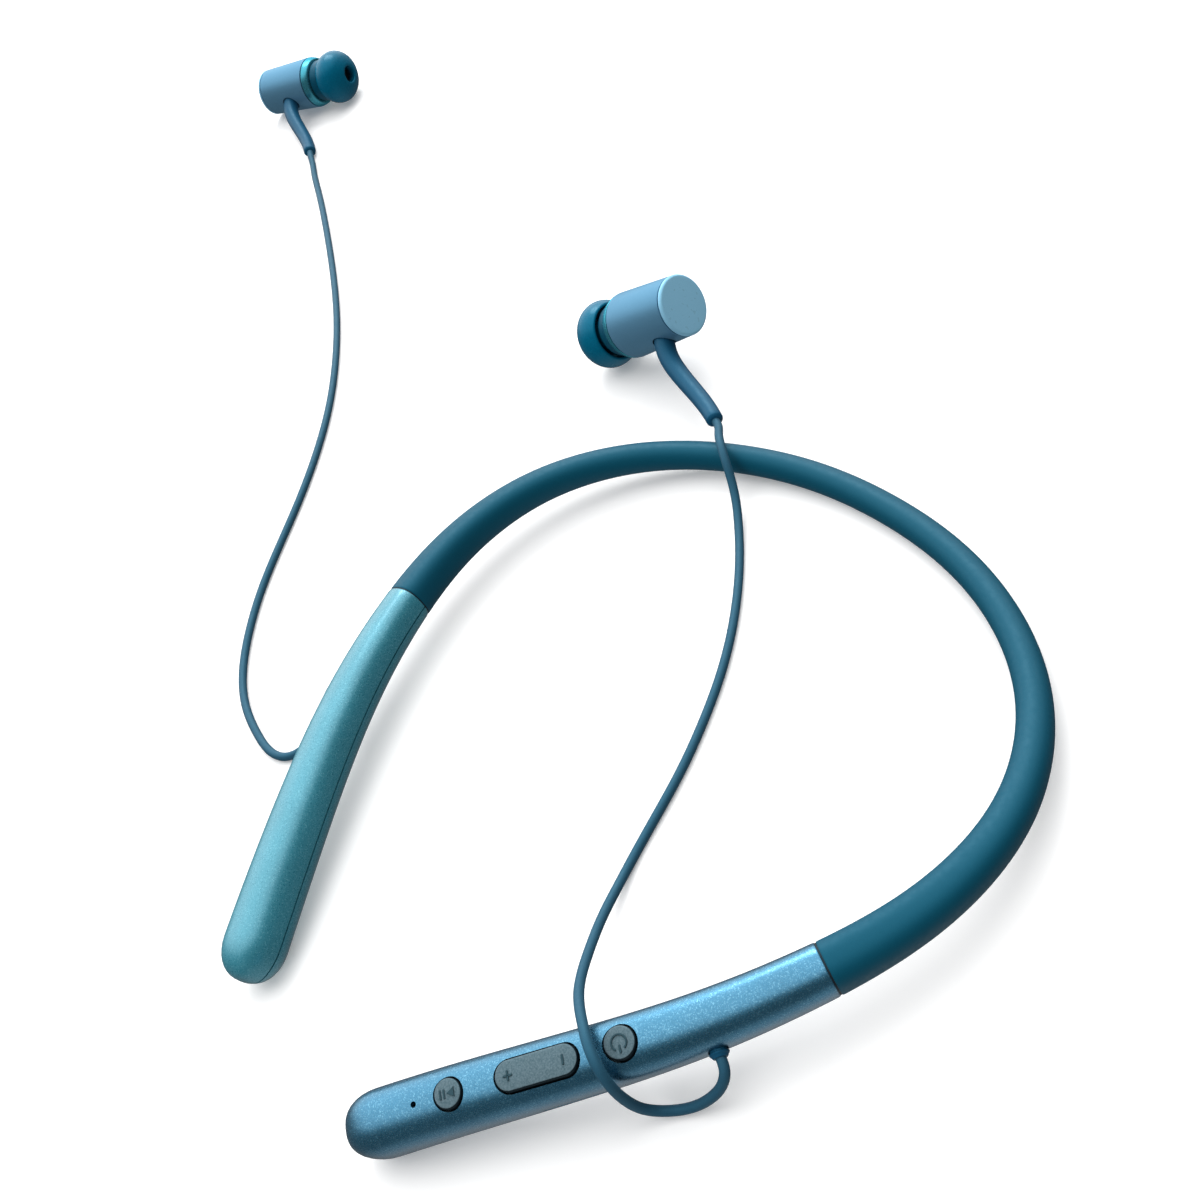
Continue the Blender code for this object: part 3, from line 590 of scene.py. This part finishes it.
def paint_side_shade(made, shade_colour):
    """Paints shade into a material's colour wherever the surface doesn't face up: a near-black
    painted shade on the sides and rounded edge.
    """
    tree = made.node_tree
    shader = tree.nodes["Principled BSDF"]
    top = shader.inputs["Base Color"].links[0].from_socket
    place = tree.nodes.new("ShaderNodeTexCoord")
    split = tree.nodes.new("ShaderNodeSeparateXYZ")
    tree.links.new(place.outputs["Normal"], split.inputs["Vector"])
    facing = ramp(tree, split.outputs["Z"], greys((0.72, 0.0), (0.86, 1.0)))
    mix = tree.nodes.new("ShaderNodeMix")
    mix.data_type = "RGBA"
    mix.inputs["A"].default_value = (*shade_colour, 1.0)
    tree.links.new(facing.outputs["Color"], mix.inputs["Factor"])
    tree.links.new(top, mix.inputs["B"])
    tree.links.new(mix.outputs["Result"], shader.inputs["Base Color"])


# Darkest and lightest colour, grains per metre, roughness, metallic, and the grain's depth in
# metres and strength
GRAINY = {
    "sleeve_silicone": ((0.002, 0.062, 0.105), (0.004, 0.078, 0.13), 9000, 0.5, 0.0, 2e-5, 0.3),
    "key_rubber": ((0.055, 0.09, 0.105), (0.125, 0.175, 0.2), 3500, 0.5, 0.0, 2e-5, 0.6),
    "icon_rubber": ((0.02, 0.04, 0.05), (0.03, 0.055, 0.065), 6500, 0.4, 0.0, 2e-5, 0.3),
    "black_plastic": ((0.010, 0.011, 0.014), (0.018, 0.019, 0.023), 7000, 0.5, 0.0, 2e-5, 0.3),
    "bud_metal": ((0.10, 0.25, 0.39), (0.115, 0.275, 0.42), 7000, 0.36, 0.3, 1e-5, 0.1),
    "cap_metal": ((0.28, 0.60, 0.82), (0.31, 0.64, 0.86), 7000, 0.30, 0.1, 1e-5, 0.1),
    "ring_metal": ((0.05, 0.29, 0.38), (0.07, 0.34, 0.44), 7000, 0.26, 0.7, 1e-5, 0.3),
    "neck_plastic": ((0.001, 0.055, 0.10), (0.003, 0.07, 0.125), 7000, 0.4, 0.0, 2e-5, 0.3),
    "tip_silicone": ((0.0, 0.11, 0.20), (0.001, 0.135, 0.235), 2500, 0.26, 0.0, 2e-5, 0.12),
    "cord_jacket": ((0.018, 0.075, 0.125), (0.028, 0.095, 0.15), 8000, 0.5, 0.0, 2e-5, 0.3),
    "boot_rubber": ((0.005, 0.065, 0.135), (0.012, 0.085, 0.165), 8000, 0.42, 0.0, 2e-5, 0.3),
    "board_green": ((0.008, 0.10, 0.04), (0.02, 0.2, 0.08), 1500, 0.4, 0.0, 2e-5, 0.2),
    "battery_wrap": ((0.45, 0.47, 0.5), (0.58, 0.6, 0.63), 1200, 0.32, 0.7, 2e-5, 0.2),
}
# Darkest, usual and brightest flake, roughness and metallic
PAINTS = {
    "teal_paint": ((0.03, 0.25, 0.34), (0.045, 0.29, 0.385), (0.12, 0.42, 0.52), 0.34, 0.28),
    "blue_paint": ((0.03, 0.175, 0.295), (0.05, 0.215, 0.35), (0.13, 0.36, 0.51), 0.3, 0.85),
}
MATERIALS = {name: grainy(name, *values) for name, values in GRAINY.items()}
MATERIALS |= {name: flake_paint(name, *values) for name, values in PAINTS.items()}
MATERIALS["steel"] = brushed("steel", (0.42, 0.43, 0.45), (0.6, 0.61, 0.63), 0.3)
# Painted shade: each key's sides and rounded edge are coloured near black, standing in for the
# shade in the gap round the key.
paint_side_shade(MATERIALS["key_rubber"], (0.006, 0.009, 0.012))


def dress(piece, material, body, *nodes, slot=None):
    """Gives a piece its material and the body it rides on, and hides the CAD nodes it stands for.
    """
    piece.data.materials.clear()
    piece.data.materials.append(MATERIALS[material])
    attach(piece, body)
    if nodes:
        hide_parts(*nodes)


# The band ---------------------------------------------------------------------------------


def make_sleeve():
    end = JOINT - GAP / 2 / HALF_LENGTH
    socket = JOINT - SOCKET_DEPTH / HALF_LENGTH
    lip = EDGE / HALF_LENGTH
    places = list(np.linspace(-end + lip, end - lip, 151))
    last, next_to_last = SLEEVE_END
    outside = [ring(-end, scale=last), ring(-end + lip * 0.35, scale=next_to_last)]
    outside += [ring(at) for at in places]
    outside += [ring(end - lip * 0.35, scale=next_to_last), ring(end, scale=last)]
    step = 0.1 / HALF_LENGTH  # the shoulder in the bore
    wide = [ring(at, inset=WALL) for at in (-end, -socket - step, socket + step, end)]
    bore = [round_ring(at, BORE_RADIUS, sides=64) for at in np.linspace(-socket, socket, 61)]
    sleeve = tube("sleeve_skin", outside, wide[:2] + bore + wide[2:])
    dress(sleeve, "sleeve_silicone", "band", "neck_sleeve", slot="sleeve_silicone")
    room = (GAP / 2 - SEAL_PLAY) / HALF_LENGTH
    for side, sign in (("left", -1), ("right", 1)):
        faces = (sign * JOINT - room, sign * JOINT + room)
        outside = [ring(at, scale=SEAL_SCALE) for at in faces]
        seal = tube(f"{side}_joint_seal", outside, [ring(at, inset=WALL) for at in faces])
        dress(seal, "black_plastic", "band", slot="black_plastic")


def housing_rings(sign):
    sides = 72
    start = JOINT + GAP / 2 / HALF_LENGTH
    shoulder = 1 - TIP_ROUND / HALF_LENGTH
    rings = [
        ring(sign * start, scale=HOUSING_END[0], sides=sides),
        ring(sign * (start + 0.1 / HALF_LENGTH), scale=HOUSING_END[1], sides=sides),
    ]
    stops = np.linspace(start + EDGE / HALF_LENGTH, shoulder, 56)
    rings += [ring(sign * at, sides=sides) for at in stops]
    for angle in np.radians([10, 20, 30, 40, 49, 57, 64, 70, 75, 79.5, 83.5, 86.5, 88.7]):
        at = shoulder + TIP_ROUND / HALF_LENGTH * math.sin(angle)
        rings.append(ring(sign * at, scale=math.cos(angle) ** 0.8, sides=sides))
    return rings


def cavity_rings(sign):
    rings = [ring(sign * JOINT, WALL, sides=32, shift=-sign * 1.0)]
    stops = np.linspace(JOINT, 1 - TIP_ROUND / HALF_LENGTH, 24)
    rings += [ring(sign * at, WALL, sides=32) for at in stops[1:]]
    rings.append(ring(sign * (1 - 4.2 / HALF_LENGTH), WALL, scale=0.72, sides=32))
    return rings


def half_space(sign, above):
    """A cutter for all that is above the seam, or below it, and half the gap more."""
    edge = -GAP / 2 if above else GAP / 2
    rings = []
    for at in np.linspace(JOINT, 1, 40):
        middle, tangent, out, up = station(sign * at)
        level = SEAM * half_width(at) * HEIGHT_RATIO + edge
        beyond = {JOINT: -2.0, 1.0: 3.0}.get(at, 0.0) * sign  # past both ends of the housing
        far = 20.0 if above else -20.0
        corners = ((-14, level), (14, level), (14, far), (-14, far))
        rings.append([middle + tangent * beyond + out * x + up * y for x, y in corners])
    return loft("cutter", rings)


def drill(piece, radius, low, high, matrix, sides=48):
    cut(piece, loft("cutter", [circle(radius, low, sides), circle(radius, high, sides)], matrix))


def wall_patch(name, ends, angles, insets):
    """A piece of the housing's wall, between two stations, angles and depths."""
    steps = 25
    rings = []
    for at in np.linspace(*ends, steps):
        line = list(np.linspace(*angles, steps))
        outer = [ring_point(at, angle, insets[0]) for angle in line]
        inner = [ring_point(at, angle, insets[1]) for angle in line[::-1]]
        rings.append(outer + inner)
    return loft(name, rings)


def make_shells(side, sign, look):
    outline = housing_rings(sign)
    smooth = loft("outline", outline)
    shells = {}
    for half, drop_above in (("top", False), ("bottom", True)):
        shell = loft(f"{side}_{half}_skin", outline)
        cut(shell, loft("cutter", cavity_rings(sign)))
        cut(shell, half_space(sign, drop_above))
        shells[half] = shell
    top, bottom = shells["top"], shells["bottom"]
    for at in SCREWS_AT:
        section = section_frame(sign * at)
        tall = half_width(at) * HEIGHT_RATIO
        seam = SEAM * tall
        boss = [circle(BOSS_RADIUS, z, 32) for z in (seam + GAP / 2, tall - WALL / 2)]
        pillar = [circle(PILLAR_RADIUS, z, 32) for z in (-tall + WALL / 2, seam - GAP / 2)]
        cut(top, loft("cutter", boss, section), "UNION")
        cut(bottom, loft("cutter", pillar, section), "UNION")
        # The screw's hole in the top shell, and in the bottom one, with the recess for its head
        drill(top, SCREW_RADIUS + GAP, seam - 1.0, seam + 3.2, section)
        drill(bottom, SCREW_RADIUS + GAP, -tall, seam + 1.0, section)
        drill(bottom, SCREW_HEAD_RADIUS + GAP, -tall - 3.0, -tall + 1.7, section)
    wide = half_width(CORD_EXIT_AT)
    outward = section_frame(sign * CORD_EXIT_AT) @ Matrix.Rotation(math.radians(-90), 4, "X")
    drill(top, GROMMET_NECK + GAP, wide - 2.0, wide + 1.0, outward)
    if side == "right":
        for at, radius in ((POWER_AT, POWER_RADIUS), (PLAY_AT, PLAY_RADIUS)):
            crown = half_width(at) * HEIGHT_RATIO
            drill(top, radius + GAP, -3.0, 3.0, section_frame(at, height=crown), 72)
        crown = half_width(ROCKER_AT) * HEIGHT_RATIO
        size = ROCKER_LENGTH + 2 * GAP, ROCKER_WIDTH + 2 * GAP
        slot = [stadium(*size, height) for height in (-2.5, 3.0)]
        cut(top, loft("cutter", slot, section_frame(ROCKER_AT, height=crown)))
        drill(top, MICROPHONE_HOLE, 0.0, 8.0, section_frame(MICROPHONE_AT), 32)
        step = GAP / HALF_LENGTH
        turn = GAP / half_width(FLAP_FROM)
        ends = (FLAP_FROM - step, FLAP_TO + step)
        angles = (FLAP_FOOT - turn, FLAP_TOP + 0.9 * turn)
        for shell in (top, bottom):
            cut(shell, wall_patch("cutter", ends, angles, (-1.5, 2.0)))
    for half, shell in shells.items():
        take_normals(shell, smooth)
        dress(shell, look, "band", f"{side}_{half}_shell", slot=look)
    bpy.data.objects.remove(smooth, do_unlink=True)
    make_grommet(side, sign)


def make_grommet(side, sign):
    section = section_frame(sign * CORD_EXIT_AT)
    wide = half_width(CORD_EXIT_AT)
    axis = section @ Matrix.Rotation(math.radians(90), 4, "Z")
    axis.translation = section.translation + section.to_3x3() @ Vector((0, wide, 0))
    profile = [(-2.6, 0), (-2.6, 2.0), (-1.6, 2.0), (-1.6, GROMMET_NECK), (GAP, GROMMET_NECK)]
    profile += [(GAP, 1.7), (0.6, 1.6), (GROMMET_HEAD, 1.4)]
    profile += [(GROMMET_HEAD + CORD_HOLD, 1.2), (GROMMET_HEAD + CORD_HOLD, 0)]
    grommet = turned(f"{side}_grommet_skin", filleted(profile, 0.15), axis, sides=48)
    dress(grommet, "boot_rubber", "band", f"{side}_cord_grommet", slot="black_plastic")


# Keys and the port ------------------------------------------------------------------------


def crowned(rings_of):
    """Rings from the flange of a key, over its rounded edge, to its slightly domed top."""
    shoulder = KEY_PROUD - KEY_DOME - KEY_ROUNDING
    rings = [rings_of(FLANGE_WIDTH, -KEY_DEPTH), rings_of(FLANGE_WIDTH, -FLANGE_DEPTH)]
    rings += [rings_of(0.0, -FLANGE_DEPTH), rings_of(0.0, shoulder)]
    for angle in np.radians([15, 30, 45, 60, 75, 90]):
        inward = KEY_EDGE * (1 - math.cos(angle))
        rings.append(rings_of(-inward, shoulder + KEY_ROUNDING * math.sin(angle)))
    for k in range(1, 7):
        height = KEY_PROUD - KEY_DOME + KEY_DOME * (1 - (1 - k / 6) ** 2)
        rings.append(rings_of(-KEY_EDGE - 2.0 * k / 6, height))
    return rings


def make_round_key(name, at, radius, body):
    crown = half_width(at) * HEIGHT_RATIO
    section = section_frame(at, height=crown)
    rings = crowned(lambda more, height: circle(radius + more, height, 72))
    key = loft(f"{name}_skin", rings, section)
    dress(key, "key_rubber", body, name, slot="key_rubber")
    return section


def bar(name, size, place, turn, section, body):
    """A raised stroke of a symbol on a key's top."""
    long, wide = size
    spin = Matrix.Translation((*place, 0)) @ Matrix.Rotation(math.radians(turn), 4, "Z")
    rings = [stadium(long, wide, KEY_PROUD + z, 24) for z in (MARK_FOOT, MARK_SHOULDER)]
    rings.append(stadium(long - 0.12, wide - 0.12, KEY_PROUD + MARK_TOP, 24))
    dress(loft(name, rings, section @ spin), "icon_rubber", body, slot="key_rubber")


def make_symbols(power, play, rocker):
    """Generic marks: power, play and pause, plus and minus."""
    shape = [(-0.17, -0.2), (0.17, -0.2), (0.17, MARK_SHOULDER), (0.1, MARK_TOP)]
    shape += [(-0.1, MARK_TOP), (-0.17, MARK_SHOULDER)]
    rings = []
    for angle in np.radians(np.linspace(125, 415, 33)):
        out = Vector((math.cos(angle), math.sin(angle), 0))
        rings.append([out * (1.25 + a) + Vector((0, 0, KEY_PROUD + b)) for a, b in shape])
    arc = loft("power_mark_arc", rings, power)
    dress(arc, "icon_rubber", "power_key", slot="key_rubber")
    bar("power_mark_bar", (1.35, 0.34), (0, 1.0), 90, power, "power_key")
    corners = [(-1.35, -0.8), (-1.35, 0.8), (0.0, 0.0)]
    rings = [[(x, y, KEY_PROUD + z) for x, y in corners] for z in (MARK_FOOT, 0.1)]
    rings.append([(x * 0.94 - 0.05, y * 0.88, KEY_PROUD + MARK_TOP) for x, y in corners])
    wedge = loft("play_mark_arrow", rings, play)
    dress(wedge, "icon_rubber", "play_key", slot="key_rubber")
    for number, x in enumerate((0.45, 1.15)):
        bar(f"play_mark_bar_{number}", (1.6, 0.36), (x, 0), 90, play, "play_key")
    end = ROCKER_LENGTH / 2 - 2.4
    bar("plus_mark_long", (1.7, 0.4), (end, 0), 0, rocker, "rocker_key")
    bar("plus_mark_cross", (1.7, 0.4), (end, 0), 90, rocker, "rocker_key")
    bar("minus_mark", (1.7, 0.4), (-end, 0), 90, rocker, "rocker_key")


def make_controls():
    power = make_round_key("power_button", POWER_AT, POWER_RADIUS, "power_key")
    play = make_round_key("play_button", PLAY_AT, PLAY_RADIUS, "play_key")
    crown = half_width(ROCKER_AT) * HEIGHT_RATIO
    rocker = section_frame(ROCKER_AT, height=crown)

    def outline(more, height):
        across = ROCKER_WIDTH + (0.0 if more > 0 else 2 * more)
        return stadium(ROCKER_LENGTH + 2 * more, across, height)

    key = loft("volume_rocker_skin", crowned(outline), rocker)
    dress(key, "key_rubber", "rocker_key", "volume_rocker", slot="key_rubber")
    make_symbols(power, play, rocker)
    ends, angles = (FLAP_FROM, FLAP_TO), (FLAP_FOOT, FLAP_TOP)
    flap = wall_patch("port_flap_skin", ends, angles, (0.0, FLAP_THICKNESS))
    dress(flap, "blue_paint", "flap", "port_flap", slot="key_rubber")


# Ear buds and cords -----------------------------------------------------------------------


def bud_frame(place, heading):
    """The bud's own axes: X along its tip, from a place and an azimuth and elevation."""
    azimuth, elevation = (math.radians(value) for value in heading)
    matrix = Matrix.Rotation(azimuth, 4, "Z") @ Matrix.Rotation(-elevation, 4, "Y")
    matrix.translation = Vector(place)
    return matrix


def bezier(handles, t):
    """The point and the direction at t on a cubic curve."""
    a, b, c, d = handles
    s = 1 - t
    point = a * s**3 + b * (3 * s * s * t) + c * (3 * s * t * t) + d * t**3
    ahead = (b - a) * s * s + (c - b) * (2 * s * t) + (d - c) * t * t
    return point, ahead.normalized()


def make_boot(side, section, end):
    """The cord's boot. Returns the axis of its hole, and where the cord starts and which way."""
    axis = section.col[0].to_3d()
    root = section @ Vector((BOOT_AT, 0, 0))
    straight = (Vector(end) - root).normalized()
    square = (straight - axis * straight.dot(axis)).normalized()
    leave = (straight + square).normalized()
    end = root + straight * BOOT_LENGTH
    level = Vector((straight.x, straight.y, 0)).normalized()
    start = root + leave * BOOT_BEND
    handles = (start, start + leave * BOOT_HANDLES[0], end - level * BOOT_HANDLES[1], end)
    stops = [(root + leave * BOOT_FOOT, leave, 0.0, 0.0)]
    stops += [(*bezier(handles, k / 30), k / 30, 0.0) for k in range(30)]
    chamfer = ((-0.1, 0.0), (0.05, 0.08), (0.3, 0.33), (0.5, 0.6), (0.5, 1.6))
    for forward, less in chamfer:
        stops.append((end + level * (forward + CORD_HOLD), level, 1.0, less))
    rings = []
    for middle, ahead, t, less in stops:
        beside = ahead.cross(Vector((0, 0, 1))).normalized()
        over = beside.cross(ahead)
        radius = BOOT_ROOT_RADIUS + (BOOT_END_RADIUS - BOOT_ROOT_RADIUS) * t - less
        spokes = [beside * math.cos(a) + over * math.sin(a) for a in angles_round(48)]
        rings.append([middle + spoke * radius for spoke in spokes])
    boot = loft(f"{side}_boot_skin", rings)
    dress(boot, "boot_rubber", "band", f"{side}_cord_boot", slot="cord_jacket")
    hole = Matrix.Translation(root) @ leave.to_track_quat("Z", "Y").to_matrix().to_4x4()
    return hole, end + level * (0.5 + GAP), level


def make_bud(side, place, heading, boot_end):
    """A whole bud. Returns where its cord starts and which way."""
    section = bud_frame(place, heading)
    length, front, rear = BODY_LENGTH, BODY_FRONT_RADIUS, BODY_REAR_RADIUS
    body = [(1.1 - length, rear), (-2.3, front), (-2.3, front - 0.9), (1.1 - length, rear - 1.0)]
    shell = turned(f"{side}_body_skin", filleted(body, 0.12, closed=True), section, hollow=True)
    whole = shell.copy()
    whole.data = shell.data.copy()  # before the boot's hole is drilled
    cap = [(-length, 0), (-length, rear - 0.4), (0.4 - length, rear), (0.8 - length, rear)]
    cap += [(0.8 - length, rear - 1.4), (2.0 - length, rear - 1.4), (2.0 - length, 0)]
    cap = turned(f"{side}_cap_skin", filleted(cap, 0.3, 6), section)
    dress(cap, "cap_metal", "band", f"{side}_bud_cap", slot="bud_metal")
    band = [(-2.0, front), (-0.6, front - 0.4), (0, front - 0.8), (0, 3.3), (-2.0, 3.3)]
    band = turned(f"{side}_ring_skin", filleted(band, 0.3, closed=True), section, hollow=True)
    dress(band, "ring_metal", "band", f"{side}_bud_ring", slot="ring_metal")
    nozzle = [(-3.0, 1.8), (-3.0, 3.0), (GAP, 3.0), (GAP, 6.1), (2.5, 5.9), (2.8, 5.6)]
    nozzle += [(2.8, 2.5), (7.3, 2.5), (7.6, 2.8), (8.1, 2.8), (8.4, 2.5), (8.4, 1.8)]
    nozzle = turned(f"{side}_nozzle_skin", filleted(nozzle, 0.3, closed=True), section, hollow=True)
    dress(nozzle, "neck_plastic", "band", f"{side}_nozzle", slot="neck_plastic")
    make_ear_tip(side, section)
    hole, cord_end, ahead = make_boot(side, section, boot_end)
    drill(shell, BOOT_ROOT_RADIUS + GAP, 2.0, 12.0, hole)
    take_normals(shell, whole)
    bpy.data.objects.remove(whole, do_unlink=True)
    dress(shell, "bud_metal", "band", f"{side}_bud_body", slot="bud_metal")
    return cord_end, ahead


def make_ear_tip(side, section):
    end, wide, bore = TIP_LENGTH, TIP_RADIUS, TIP_BORE_RADIUS
    outside = [(end, bore), (end, bore + 0.7), (end - 0.4, bore + 1.9), (end - 1.4, wide - 1.7)]
    outside += [(end - 3.0, wide - 0.5), (end - 4.9, wide), (end - 6.8, wide - 0.4)]
    outside += [(end - 8.2, wide - 1.2)]
    fold = [(end - 8.2, wide - 1.8), (end - 6.8, wide - 1.1), (end - 4.9, wide - 0.7)]
    fold += [(end - 3.3, wide - 1.2), (end - 2.3, wide - 2.2), (end - 2.0, 4.0)]
    stem = [(3.1, 4.0), (3.1, 3.1), (end - 2.2, 3.1), (end - 2.0, bore)]
    profile = filleted(outside + fold + stem, 3.0, 5, closed=True)
    tip = turned(f"{side}_tip_skin", profile, section, hollow=True)
    dress(tip, "tip_silicone", f"{side}_tip", f"{side}_ear_tip", slot="tip_silicone")


def make_cord(side, sign, boot_end, boot_heading):
    """A cord from its housing's grommet, along its route, to its bud's boot."""
    section = section_frame(sign * CORD_EXIT_AT)
    out = section.col[1].to_3d()
    face = section.translation + out * (half_width(CORD_EXIT_AT) + GROMMET_HEAD + GAP)
    route = [tuple(face), tuple(face + out * CORD_LEVEL)]
    route += list(CORD_ROUTES[side])
    route += [tuple(boot_end + boot_heading * CORD_LEVEL), tuple(boot_end)]
    points = smooth_curve(route, 360)
    points = (points + np.array((*APEX, 0))) * MM
    line = bpy.data.curves.new(f"{side}_cord_skin", "CURVE")
    line.dimensions = "3D"
    line.bevel_depth = CORD_RADIUS * MM
    line.bevel_resolution = 6
    line.use_fill_caps = True
    spline = line.splines.new("POLY")
    spline.points.add(len(points) - 1)
    for target, point in zip(spline.points, points):
        target.co = (*point, 1.0)
    spline.use_smooth = True
    made = bpy.data.objects.new(f"{side}_cord_skin", line)
    bpy.context.scene.collection.objects.link(made)
    dress(made, "cord_jacket", "band", f"{side}_cord", slot="cord_jacket")


def dress_inside():
    """Materials for the CAD nodes that stay. The screws, switches, socket and drivers are steel."""
    looks = {
        "spring_wire": "steel",
        "link_cable": "black_plastic",
        "left_neck_plug": "black_plastic",
        "right_neck_plug": "black_plastic",
        "battery": "battery_wrap",
        "battery_board": "board_green",
        "main_board": "board_green",
        "radio_chip": "black_plastic",
        "left_nozzle_mesh": "black_plastic",
        "right_nozzle_mesh": "black_plastic",
    }
    for name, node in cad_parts.items():
        slots = node.material_slots[0]
        slots.link = "OBJECT"
        slots.material = MATERIALS[looks.get(name, "steel")]


# Stage ------------------------------------------------------------------------------------


def make_stage():
    mesh = bpy.data.meshes.new("floor")
    edge = FLOOR_REACH
    corners = [(-edge, -edge, 0), (edge, -edge, 0), (edge, edge, 0), (-edge, edge, 0)]
    mesh.from_pydata(corners, [], [(0, 1, 2, 3)])
    floor = bpy.data.objects.new("floor", mesh)
    bpy.context.scene.collection.objects.link(floor)
    made, tree, shader = new_material(
        "floor",
        Roughness=0.9,
        Specular_IOR_Level=0.1,
        Emission_Color=(1.0, 1.0, 1.0, 1.0),
        Emission_Strength=FLOOR_GLOW,
    )
    colour = ramp(tree, noise(tree, 30).outputs["Fac"], greys((0.3, 0.93), (0.7, 0.95)))
    tree.links.new(colour.outputs["Color"], shader.inputs["Base Color"])
    mesh.materials.append(made)
    floor.visible_diffuse = False
    floor.visible_glossy = False


def area_light(name, place, size, power):
    """A softbox that points at the origin."""
    light = bpy.data.lights.new(name, "AREA")
    light.shape = "RECTANGLE"
    light.size, light.size_y = size
    light.energy = power
    made = bpy.data.objects.new(name, light)
    bpy.context.scene.collection.objects.link(made)
    made.location = place
    made.rotation_euler = (-Vector(place)).to_track_quat("-Z", "Y").to_euler()
    return made


def make_lights():
    """A studio sky that is bright overhead and behind, a softbox, and a fill without glare."""
    world = bpy.data.worlds.new("world")
    bpy.context.scene.world = world
    world.use_nodes = True
    tree = world.node_tree
    place = tree.nodes.new("ShaderNodeTexCoord")
    dot = tree.nodes.new("ShaderNodeVectorMath")
    dot.operation = "DOT_PRODUCT"
    dot.inputs[1].default_value = Vector(SKY_TOWARDS).normalized()
    tree.links.new(place.outputs["Generated"], dot.inputs[0])
    half = tree.nodes.new("ShaderNodeMath")
    half.operation = "MULTIPLY_ADD"
    half.inputs[1].default_value = half.inputs[2].default_value = 0.5
    tree.links.new(dot.outputs["Value"], half.inputs[0])
    sky = ramp(tree, half.outputs["Value"], greys(*SKY_STOPS))
    back = tree.nodes["Background"]
    tree.links.new(sky.outputs["Color"], back.inputs["Color"])
    back.inputs["Strength"].default_value = SKY_STRENGTH
    area_light("key", *KEY_LIGHT)
    fill = area_light("fill", *FILL_LIGHT)
    fill.visible_glossy = False


def make_camera():
    right = Vector(CAMERA_RIGHT).normalized()
    down = Vector(CAMERA_DOWN).normalized()
    ahead = right.cross(down)
    down = ahead.cross(right)
    matrix = Matrix((right, -down, -ahead)).transposed().to_4x4()
    matrix.translation = (Vector(CAMERA_AT) + Vector((*APEX, 0))) * MM
    camera = bpy.data.cameras.new("camera")
    camera.lens = CAMERA_LENS
    camera.sensor_width = 36.0
    camera.clip_start = 0.01
    made = bpy.data.objects.new("camera", camera)
    bpy.context.scene.collection.objects.link(made)
    made.matrix_world = matrix
    bpy.context.scene.camera = made


# Assembly ---------------------------------------------------------------------------------

bpy.context.scene.view_settings.view_transform = "Standard"
make_camera()
dress_inside()
make_sleeve()
for side, sign, look in (("left", -1, "teal_paint"), ("right", 1, "blue_paint")):
    make_shells(side, sign, look)
    make_cord(side, sign, *make_bud(side, *BUDS[side]))
make_controls()
make_stage()
make_lights()
